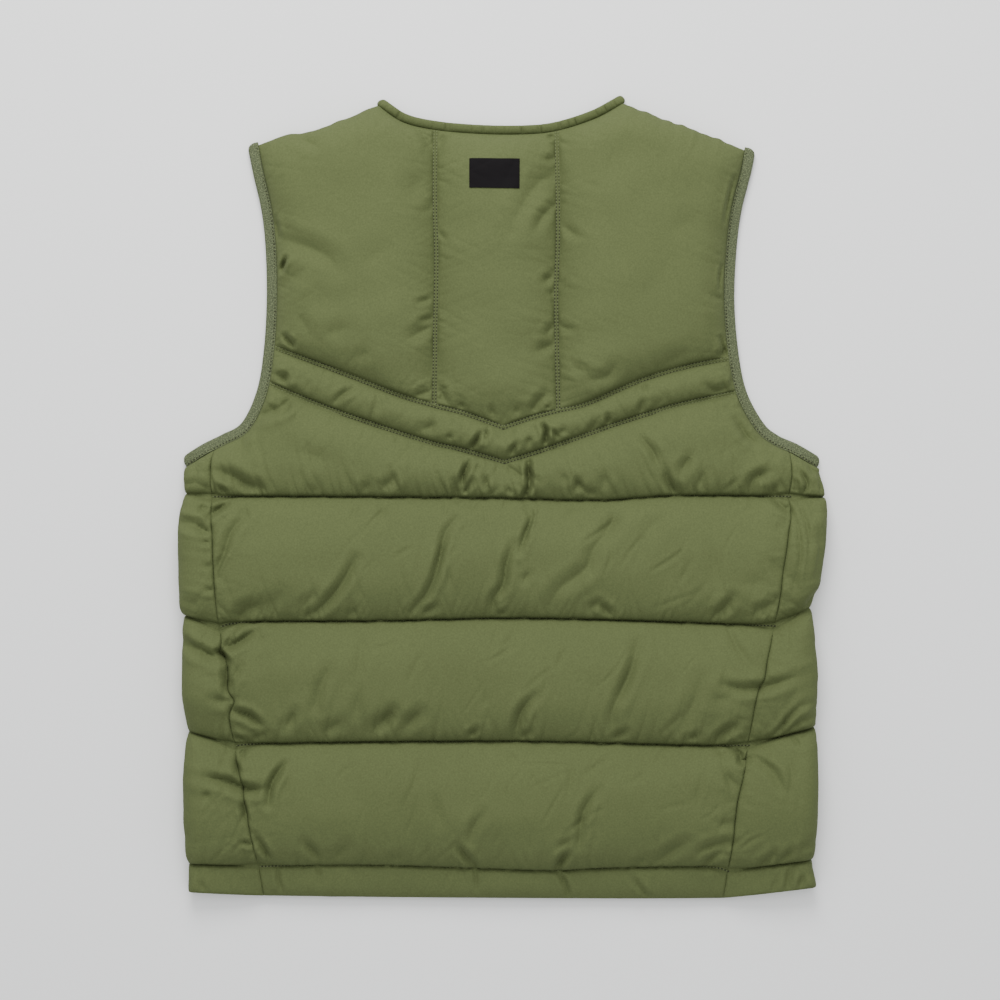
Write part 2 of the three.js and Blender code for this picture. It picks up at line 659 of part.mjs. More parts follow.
function frontSection(half, index, v) {
  const channel = CHANNELS[index];
  const [upper, lower] = [FOLD_ROWS[index], FOLD_ROWS[index + 1]];
  const edges = flapEdges(half, index);
  const swell = rise(2 * Math.min(v, 1 - v));
  const fold = foldPoint(half, index).lerp(foldPoint(half, index + 1), v);
  const plain = Math.abs(fold.x);
  const reachOut = plain + channel.bulge * swell;
  const radius = THREE.MathUtils.lerp(upper.radius, lower.radius, v) + channel.swell * swell;
  const centreY = THREE.MathUtils.lerp(upper.centreY, lower.centreY, v);
  const seam = sideParts.get(half)[index].at(v);
  const seamX = Math.abs(seam.x) + GAP / 2;
  const startX = PLACKET_HALF + GAP;
  const turnX = reachOut - radius;
  const span = index === 0 ? THREE.MathUtils.lerp(reachOut - seamX, CENTRE_SPAN, v) : CENTRE_SPAN;
  const edgeGap = index === 0 ? (1 - v) * GAP : 0;
  const topY = (x) => THREE.MathUtils.mapLinear(x, reachOut, seamX, fold.y, seam.y) - edgeGap;
  const underY = (x) => THREE.MathUtils.lerp(fold.y, centreY, Math.min(1, (reachOut - x) / span)) - edgeGap;
  const spot = (x, y) => new THREE.Vector2(half.sign * x, y);
  const crown = outerHeight(spot(turnX, topY(turnX)), channel.loft, edges);
  const points = series(startX, turnX, 4).map((x) => lift(spot(x, underY(x)), 0));
  series(-90, 90, FOLD_STEPS).slice(1).forEach((degrees) => {
    const angle = THREE.MathUtils.degToRad(degrees);
    const x = turnX + radius * Math.cos(angle);
    const y = degrees > 0 ? topY(x) : underY(x);
    points.push(lift(spot(x, y), (crown / 2) * (1 + Math.sin(angle))));
  });
  series(turnX, seamX, 4).slice(1).forEach((x) => {
    const point = spot(x, topY(x));
    points.push(lift(point, outerHeight(point, channel.loft, edges)));
  });
  const innerX = plain - TURN_SHARE * (restHeight(spot(plain, fold.y)) - TURN_SPARE);
  series(seamX, innerX, 3).forEach((x) => {
    const point = spot(x, topY(x));
    points.push(lift(point, restHeight(point) + GAP / 2));
  });
  LINING_STEPS.map((step) => THREE.MathUtils.lerp(innerX, startX, step)).forEach((x) => {
    const point = spot(x, underY(x));
    points.push(lift(point, frontInner(point)));
  });
  return points;
}

function frontBody(name, half) {
  const sections = [];
  CHANNELS.forEach((channel, index) => {
    const vs = CHANNEL_ROWS[channel.rows].slice(index ? 1 : 0);
    sections.push(...vs.map((v) => frontSection(half, index, v)));
  });
  return loft(name, sections, false, SHELL, (point) => new THREE.Vector2(point.x, point.z));
}

// Tape and neck band: a pressed strip that runs along a seam line, on the outside of it.
// Across 1 lies at the seam and 0 at the free edge, and up 1 is the side that shows

const STRIP_SECTION = columns('across up', [
  [0, 0.1], [0, 0.75], [0.14, 1], [0.9, 1], [1, 0.8], [1, 0],
]);
const TURN_DEGREES = [60, 30, 0, -30, -60];
const STRIP_EASE = 0.05;         // share of a strip over which it comes down to the edge at each end

// The place of one corner of a strip's section. Hand is 1 where the cloth lies right of the line
function stripPoint(line, share, hand, width, corner) {
  const along = line.tangent(share);
  const outward = new THREE.Vector2(-along.y, along.x).multiplyScalar(hand);
  return line.at(share).addScaledVector(outward, GAP / 2 + (1 - corner.across) * (width - GAP / 2));
}

// Sections of a strip on the upper or the lower layer
function stripRun(line, hand, width, upper, shares) {
  return shares.map((share) => STRIP_SECTION.map((corner) => {
    const point = stripPoint(line, share, hand, width, corner);
    const free = Math.min(1, share / STRIP_EASE, (1 - share) / STRIP_EASE);
    const off = GAP / 2 + corner.up * BINDING_WALL;
    if (!upper) return lift(point, EDGE_REST - off);
    return lift(point, THREE.MathUtils.lerp(EDGE_REST, restHeight(point), free) + off);
  }));
}

// Sections of a strip that turns over the end of a line, from the upper layer to the lower one
function stripTurn(line, hand, width, share) {
  const outward = line.tangent(share).multiplyScalar(share > 0.5 ? 1 : -1);
  return TURN_DEGREES.map((degrees) => STRIP_SECTION.map((corner) => {
    const angle = THREE.MathUtils.degToRad(degrees);
    const off = GAP / 2 + corner.up * BINDING_WALL;
    const point = stripPoint(line, share, hand, width, corner).addScaledVector(outward, off * Math.cos(angle));
    return lift(point, EDGE_REST + off * Math.sin(angle));
  }));
}

const FRONT_ROWS = 16;

// The front's seam with the tape: the back's, cut deeper between the shoulder and the underarm
function frontTape(half) {
  const under = half.tapeShares[2];
  const cut = (share) => (share < under ? FRONT_ARMHOLE_CUT * Math.sin((Math.PI * share) / under) ** 2 : 0);
  return half.tape.aside((share) => half.sign * cut(share));
}

function armholeBinding(name, half) {
  const shares = half.tapeShares;
  const spread = (from, to, rows) => rows.map((row) => from + (to - from) * row);
  const firstRows = FIRST_ROWS.filter((row) => row <= ARM_SHARE).map((row) => row / ARM_SHARE);
  const backShares = [
    ...spread(0, shares[0], YOKE_ROWS),
    ...spread(shares[0], shares[1], CHEVRON_ROWS).slice(1),
    ...spread(shares[1], shares[2], firstRows).slice(1),
    1,
  ];
  const front = frontTape(half);
  const chestShare = front.shareAt('y', CHEST_SEAM);
  const frontShares = [1, ...spread(chestShare, 0, series(0, 1, FRONT_ROWS))];
  const sections = [
    ...stripRun(half.tape, half.sign, BINDING_WIDTH, true, backShares),
    ...stripTurn(half.tape, half.sign, BINDING_WIDTH, 1),
    ...stripRun(front, half.sign, BINDING_WIDTH, false, frontShares),
    ...stripTurn(half.tape, half.sign, BINDING_WIDTH, 0).reverse(),
  ];
  return loft(name, sections, true, TAPE);
}

const NECK_TURN = 22.0;          // how far the front neckline keeps the back neckline's direction
const NECK_HOLLOW = 62.0;        // X at which the front neckline turns towards the centre
const OPENING_END = PLACKET_HALF + 3 * GAP;

// The front's seam with the neck band, from the shoulder to the centre of the front
function frontNeck(half) {
  const start = half.neck.at(0);
  const last = new THREE.Vector2(half.sign * OPENING_END, NECK_DEPTH - BAND_WIDTH);
  const curve = new THREE.CubicBezierCurve(
    start,
    start.clone().addScaledVector(half.neck.tangent(0), NECK_TURN),
    new THREE.Vector2(half.sign * NECK_HOLLOW, last.y),
    last,
  );
  return new Line(curve.getPoints(4 * LINE_STEPS));
}

function neckBand() {
  const neckColumns = SHOULDER_COLUMNS.filter((column) => column >= 1 - NECK_SHARE);
  const outer = neckColumns.map((column) => (column - 1 + NECK_SHARE) / NECK_SHARE);
  const leftShares = outer.map((way) => left.neckShare * way);
  const rightShares = outer.map((way) => 1 - (1 - right.neckShare) * way).reverse();
  const middle = CENTRE_COLUMNS.map((way) => THREE.MathUtils.lerp(left.neckShare, right.neckShare, way));
  const shares = [...leftShares, ...middle.slice(1, -1), ...rightShares];
  const frontShares = series(0, 1, FRONT_ROWS / 2);
  const sections = [
    ...stripRun(frontNeck(left), 1, BAND_WIDTH, false, [...frontShares].reverse()),
    ...stripTurn(neckSeam, 1, BAND_WIDTH, 0).reverse(),
    ...stripRun(neckSeam, 1, BAND_WIDTH, true, shares),
    ...stripTurn(neckSeam, 1, BAND_WIDTH, 1),
    ...stripRun(frontNeck(right), -1, BAND_WIDTH, false, frontShares),
  ];
  return loft('neck_band', sections, false, SHELL, (point) => new THREE.Vector2(point.y, point.z));
}

// Front yokes: plain padded walls from the shoulder to the chest seam, flat on the table

const FRONT_COLUMNS = series(0, 1, 9);
const FRONT_COARSE_COLUMNS = [0.2, 0.8];
const FRONT_COARSE_ROWS = [0.1, 0.5, 0.9];

function frontYoke(name, half) {
  const tape = frontTape(half);
  const armSide = tape.stretch(0, tape.shareAt('y', CHEST_SEAM));
  const neck = frontNeck(half);
  const placketFoot = new THREE.Vector2(half.sign * (PLACKET_HALF + GAP), CHEST_SEAM + GAP);
  const innerSide = inTurn(neck, new Line([neck.at(1), placketFoot]), 0.5);
  const shoulder = fitEnds(half.shoulder, armSide.at(0), neck.at(0));
  const foot = new Line([armSide.at(1), placketFoot]);
  const place = inside(patch(shoulder, foot, armSide, innerSide));
  const upper = gridOf(place, FRONT_COLUMNS, series(0, 1, FRONT_ROWS)).map((row) => row.map((point) => {
    return lift(point, frontInner(point));
  }));
  return wall(name, upper, () => 0, gridOf(place, FRONT_COARSE_COLUMNS, FRONT_COARSE_ROWS), SHELL);
}

// Front opening: a covering strip and its press studs

const PLACKET_ROWS = 14;

function placket() {
  const place = (u, v) => new THREE.Vector2(
    THREE.MathUtils.lerp(-PLACKET_HALF, PLACKET_HALF, u),
    THREE.MathUtils.lerp(NECK_DEPTH, HEM_EDGE[2][1] + 2 * GAP, v),
  );
  const upper = gridOf(place, [0, 1], series(0, 1, PLACKET_ROWS)).map((row) => row.map((point) => {
    return lift(point, frontInner(point));
  }));
  const lower = gridOf(place, FRONT_COARSE_COLUMNS, [0.1, 0.9]);
  return wall('front_placket', upper, () => PLACKET_CLEAR, lower, SHELL);
}

function pressStud(index) {
  const geometry = new THREE.CylinderGeometry(STUD_RADIUS, STUD_RADIUS, STUD_HEIGHT, STUD_SIDES);
  geometry.rotateX(Math.PI / 2);
  const stud = new THREE.Mesh(geometry, new THREE.MeshStandardMaterial(STUD));
  const [first, last] = [NECK_DEPTH - STUD_INSET, HEM_EDGE[2][1] + STUD_INSET];
  stud.position.set(0, THREE.MathUtils.lerp(first, last, index / (STUD_COUNT - 1)), STUD_HEIGHT / 2);
  stud.name = `press_stud_${index + 1}`;
  return stud;
}

// The woven patch under the neck, laid on the centre panel

const LABEL_CORNERS = [[-28.9, 291.5], [14.3, 291.1], [-28.9, 266.0], [14.1, 265.3]];
const LABEL_COLUMNS = series(0, 1, 6);
const LABEL_ROWS = series(0, 1, 4);

function backLabel() {
  const [a, b, c, d] = LABEL_CORNERS.map(([x, y]) => new THREE.Vector2(x, y));
  const place = patch(new Line([a, b]), new Line([c, d]), new Line([a, c]), new Line([b, d]));
  const height = (point) => outerHeight(point, CENTRE_LOFT, centreEdges) + GAP;
  const upper = gridOf(place, LABEL_COLUMNS, LABEL_ROWS).map((row) => row.map((point) => {
    return lift(point, height(point) + LABEL_WALL);
  }));
  const lower = gridOf(place, LABEL_COLUMNS.slice(1, -1), LABEL_ROWS.slice(1, -1));
  return wall('back_label', upper, height, lower, LABEL);
}

const vest = new THREE.Group();
vest.add(yokeSide('back_yoke_left', left), yokeCentre(), yokeSide('back_yoke_right', right));
vest.add(chevron(), backBody());
vest.add(frontYoke('front_yoke_left', left), frontYoke('front_yoke_right', right));
vest.add(frontBody('front_body_left', left), frontBody('front_body_right', right), placket());
vest.add(neckBand());
vest.add(armholeBinding('armhole_binding_left', left), armholeBinding('armhole_binding_right', right));
vest.add(backLabel());
for (let index = 0; index < STUD_COUNT; index += 1) vest.add(pressStud(index));

export default vest;
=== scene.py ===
"""Dresses a quilted vest that lies flat on its front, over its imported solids.

Every padded piece is a height over the table, worked out for whole grids of points at once:
inner height + pressed wall + loft * rises from the seams + folds + puckers. Tables are in millimetres.
"""

import math
from collections import namedtuple

import bpy
import numpy as np
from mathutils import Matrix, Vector


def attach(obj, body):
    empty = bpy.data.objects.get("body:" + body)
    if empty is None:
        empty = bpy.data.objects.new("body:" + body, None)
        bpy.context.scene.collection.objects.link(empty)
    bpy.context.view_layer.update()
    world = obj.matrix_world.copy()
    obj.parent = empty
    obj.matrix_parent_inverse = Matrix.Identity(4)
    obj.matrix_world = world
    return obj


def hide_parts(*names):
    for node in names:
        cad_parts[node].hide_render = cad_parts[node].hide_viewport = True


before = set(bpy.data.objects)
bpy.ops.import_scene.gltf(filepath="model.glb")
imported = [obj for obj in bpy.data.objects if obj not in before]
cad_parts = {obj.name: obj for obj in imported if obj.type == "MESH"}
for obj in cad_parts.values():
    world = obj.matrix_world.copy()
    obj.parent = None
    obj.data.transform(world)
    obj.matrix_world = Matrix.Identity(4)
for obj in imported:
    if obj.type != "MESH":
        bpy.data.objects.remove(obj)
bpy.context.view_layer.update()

bl_info = {
    "name": "Quilted Vest Laid Flat",
    "version": (1, 0, 0),
    "blender": (4, 5, 0),
    "location": "View3D > Sidebar > Vest",
    "description": "Padding, folds, sewing and cloth of a quilted vest",
    "category": "Object",
}

METRE = 0.001            # metres in one of the tables' millimetres

# Sizes that the solids have too

GAP = 0.3                # between stitched edges in the solids
WALL = GAP / 2 + 3.0     # height of a seam above the inside of the vest
EDGE_REST = 3.55         # height of the inside at the bound edges
BODY_REST = 18.0         # height of the inside well away from the edges
EDGE_FADE = 40.0
TOP_OFFSET = 4.0         # the inside falls less towards the shoulders and neck than towards the armholes
HEM_OFFSET = 6.0
LINING_SLACK = 1.2
SLOPE_SLACK = 2.4
BINDING_WIDTH = 9.3
BINDING_WALL = 3.4
BAND_WIDTH = 7.6
PLACKET_HALF = 16.0
PLACKET_CLEAR = 1.3
NECK_DEPTH = 213.0
CHEST_SEAM = 41.0
FRONT_ARMHOLE_CUT = 8.0
LABEL_WALL = 0.8
UNDERARM_RUN = 3.5
CENTRE_SPAN = 120.0
NECK_TURN = 22.0
NECK_HOLLOW = 62.0
NECK_SHARE = 0.36
ARM_SHARE = 0.66
SIDE_SEAM_LOFT = 0.74
LINE_STEPS = 12

# Sizes of the fine form

SEAM_GAP = 0.05          # between neighbouring faces here, so that a seam closes to the eye
TWIN_FLAT = 1.75         # pressed strip on each side of a twin-needle seam
TWIN_RIDGE = 0.6         # the cloth between its two rows of stitches stands this far up
TWIN_ROUND = 0.8
FOLD_CLEAR = 1.3         # folds fade out this close to a seam, and puckers this close
PUCKER_CLEAR = 0.9
WAVE_FADE = 8.0          # the waves of a quilting line are felt this far from it
QUILT_NOTCH = 2.1        # a quilting line is pulled this far into the wall
SIDE_NOTCH = 0.6         # the side seam lies this far below the padding beside it
NOTCH_WIDTH = 1.15
SIDE_PRESS = 15.0        # this close to a side seam a quilting line lies in a pressed strip, of this width
SIDE_STRIP = 2.4
UNDER_LIFT = 2.6         # a seam on the underside lifts this far off the table
UNDER_FADE = 6.0
LOWEST = -2.4            # folds and notches never go deeper than this below the wall
FINE_STEP = 6            # fine cells for each coarse one on the hidden side of a wall
SHARP_ANGLE = math.radians(55)
HEM = 4                  # number of the hem's channel, and of its line

# Seam lines of the back. Lines of one half run from the outside to the centre

NECK_SEAM = [
    (-108.0, 339.8), (-86.9, 325.4), (-58.5, 318.6), (-19.8, 315.2),
    (17.2, 314.8), (46.4, 317.8), (80.0, 328.5), (103.6, 341.6),
]
QUILT_LINES = [
    [(-251.1, 1.1), (-164.3, 1.1), (-19.8, 0.0), (81.7, -2.1), (148.6, 1.9), (247.7, 1.3)],
    [(-243.8, -110.9), (-215.9, -106.6), (-105.8, -105.8), (8.3, -103.5), (117.8, -105.8), (233.9, -110.1)],
    [(-230.5, -213.1), (-190.1, -211.1), (0.9, -209.3), (158.8, -212.8), (211.6, -212.8)],
    [(-210.7, -317.8), (-105.8, -317.0), (34.0, -321.6), (83.4, -319.7), (172.5, -318.2), (194.4, -322.1)],
    [(-207.0, -344.0), (-105.8, -345.3), (-2.6, -346.1), (117.8, -346.6), (190.7, -346.1)],
]
LEFT_LINES = {
    "shoulder": [(-211.6, 305.6), (-191.8, 313.0), (-157.4, 320.8), (-123.0, 335.4), (-108.0, 341.6)],
    "upper_v": [
        (-197.1, 130.3), (-164.4, 117.8), (-127.3, 103.6), (-89.9, 88.8), (-59.1, 79.5),
        (-33.9, 73.1), (0.3, 60.5),
    ],
    "lower_v": [(-200.8, 98.9), (-155.1, 79.5), (-108.5, 62.8), (-61.9, 47.7), (-33.9, 41.3), (1.3, 31.0)],
    "yoke_seam": [(-58.5, 318.6), (-58.8, 256.3), (-57.4, 204.7), (-58.5, 137.6), (-59.1, 79.5)],
    "side_seam": [
        (-251.1, 41.3), (-252.8, 29.2), (-252.8, 13.8), (-252.0, 1.1), (-251.6, -14.6), (-249.8, -36.1),
        (-249.0, -57.6), (-247.3, -83.4), (-245.1, -110.1), (-242.5, -120.4), (-242.5, -128.1),
        (-243.8, -132.4),
        (-239.1, -137.6), (-236.5, -146.2), (-236.2, -163.4), (-230.5, -173.7), (-233.1, -180.6),
        (-234.8, -188.3), (-232.6, -203.8), (-230.1, -213.3), (-229.2, -227.0), (-225.8, -238.2),
        (-222.7, -251.1), (-221.0, -264.0), (-215.9, -292.4), (-211.1, -315.6), (-207.0, -344.0),
    ],
    "armhole": [
        (-221.0, 303.6), (-216.7, 282.1), (-209.0, 247.7), (-205.5, 213.3), (-204.7, 170.3), (-207.3, 127.3),
        (-213.3, 92.9), (-226.2, 65.4), (-243.4, 55.0), (-260.6, 46.4), (-276.4, 36.4),
    ],
}
RIGHT_LINES = {
    "shoulder": [(208.6, 301.8), (169.4, 318.2), (135.0, 331.1), (103.6, 344.0)],
    "upper_v": [
        (193.5, 120.4), (162.9, 114.6), (120.2, 102.3), (71.4, 81.0), (47.6, 75.2),
        (25.3, 69.4), (0.3, 60.5),
    ],
    "lower_v": [(200.4, 91.2), (152.7, 81.0), (122.1, 71.9), (91.8, 61.9), (41.1, 43.5), (1.3, 31.0)],
    "yoke_seam": [(46.4, 317.8), (47.3, 230.5), (45.8, 178.0), (46.4, 129.0), (47.6, 75.2)],
    "side_seam": [
        (249.1, 39.6), (249.7, 18.1), (247.4, 0.9), (248.4, -14.6), (246.1, -27.5), (243.6, -44.7),
        (240.8, -61.9), (238.7, -79.1), (236.3, -96.3), (233.6, -110.1), (230.1, -126.4), (227.0, -139.3),
        (225.3, -149.6), (223.6, -156.5), (220.2, -162.5), (216.7, -173.7), (214.0, -190.9), (211.4, -208.1),
        (208.8, -225.3), (205.4, -242.5), (201.2, -259.7), (199.0, -276.9), (197.6, -294.1), (194.8, -313.0),
        (193.9, -321.6), (190.7, -346.1),
    ],
    "armhole": [
        (218.4, 299.3), (215.0, 282.1), (206.4, 247.7), (202.1, 213.3), (200.4, 170.3), (203.8, 127.3),
        (210.7, 92.9), (225.3, 65.4), (238.2, 54.2), (255.4, 46.4), (273.8, 35.6),
    ],
}
LABEL_CORNERS = [(-28.9, 291.5), (14.3, 291.1), (-28.9, 266.0), (14.1, 265.3)]

# Where each quilting line runs over the fold at the side
FoldRow = namedtuple("FoldRow", "left right centre_y radius")
FOLD_ROWS = [
    FoldRow(None, None, 41.0, 4.0),
    FoldRow((-273.9, 3.9), (276.9, 0.9), 0.0, 9.0),
    FoldRow((-274.3, -101.5), (264.9, -94.6), -104.0, 11.0),
    FoldRow((-271.3, -201.2), (268.3, -197.8), -210.0, 11.0),
    FoldRow((-271.3, -315.6), (266.6, -312.2), -320.0, 8.0),
    FoldRow((-271.8, -339.7), (270.6, -335.4), -345.8, 5.0),
]

# Channels between the quilting lines, with the rows of cells in each
Channel = namedtuple("Channel", "loft bulge swell reach rows")
CHANNELS = [
    Channel(14.0, 1.5, 4.0, 34.0, 60),
    Channel(19.0, 6.0, 7.0, 52.0, 84),
    Channel(19.0, 3.5, 7.0, 52.0, 78),
    Channel(19.0, 4.0, 7.0, 52.0, 78),
    Channel(3.0, 0.0, 1.0, 12.0, 12),
]

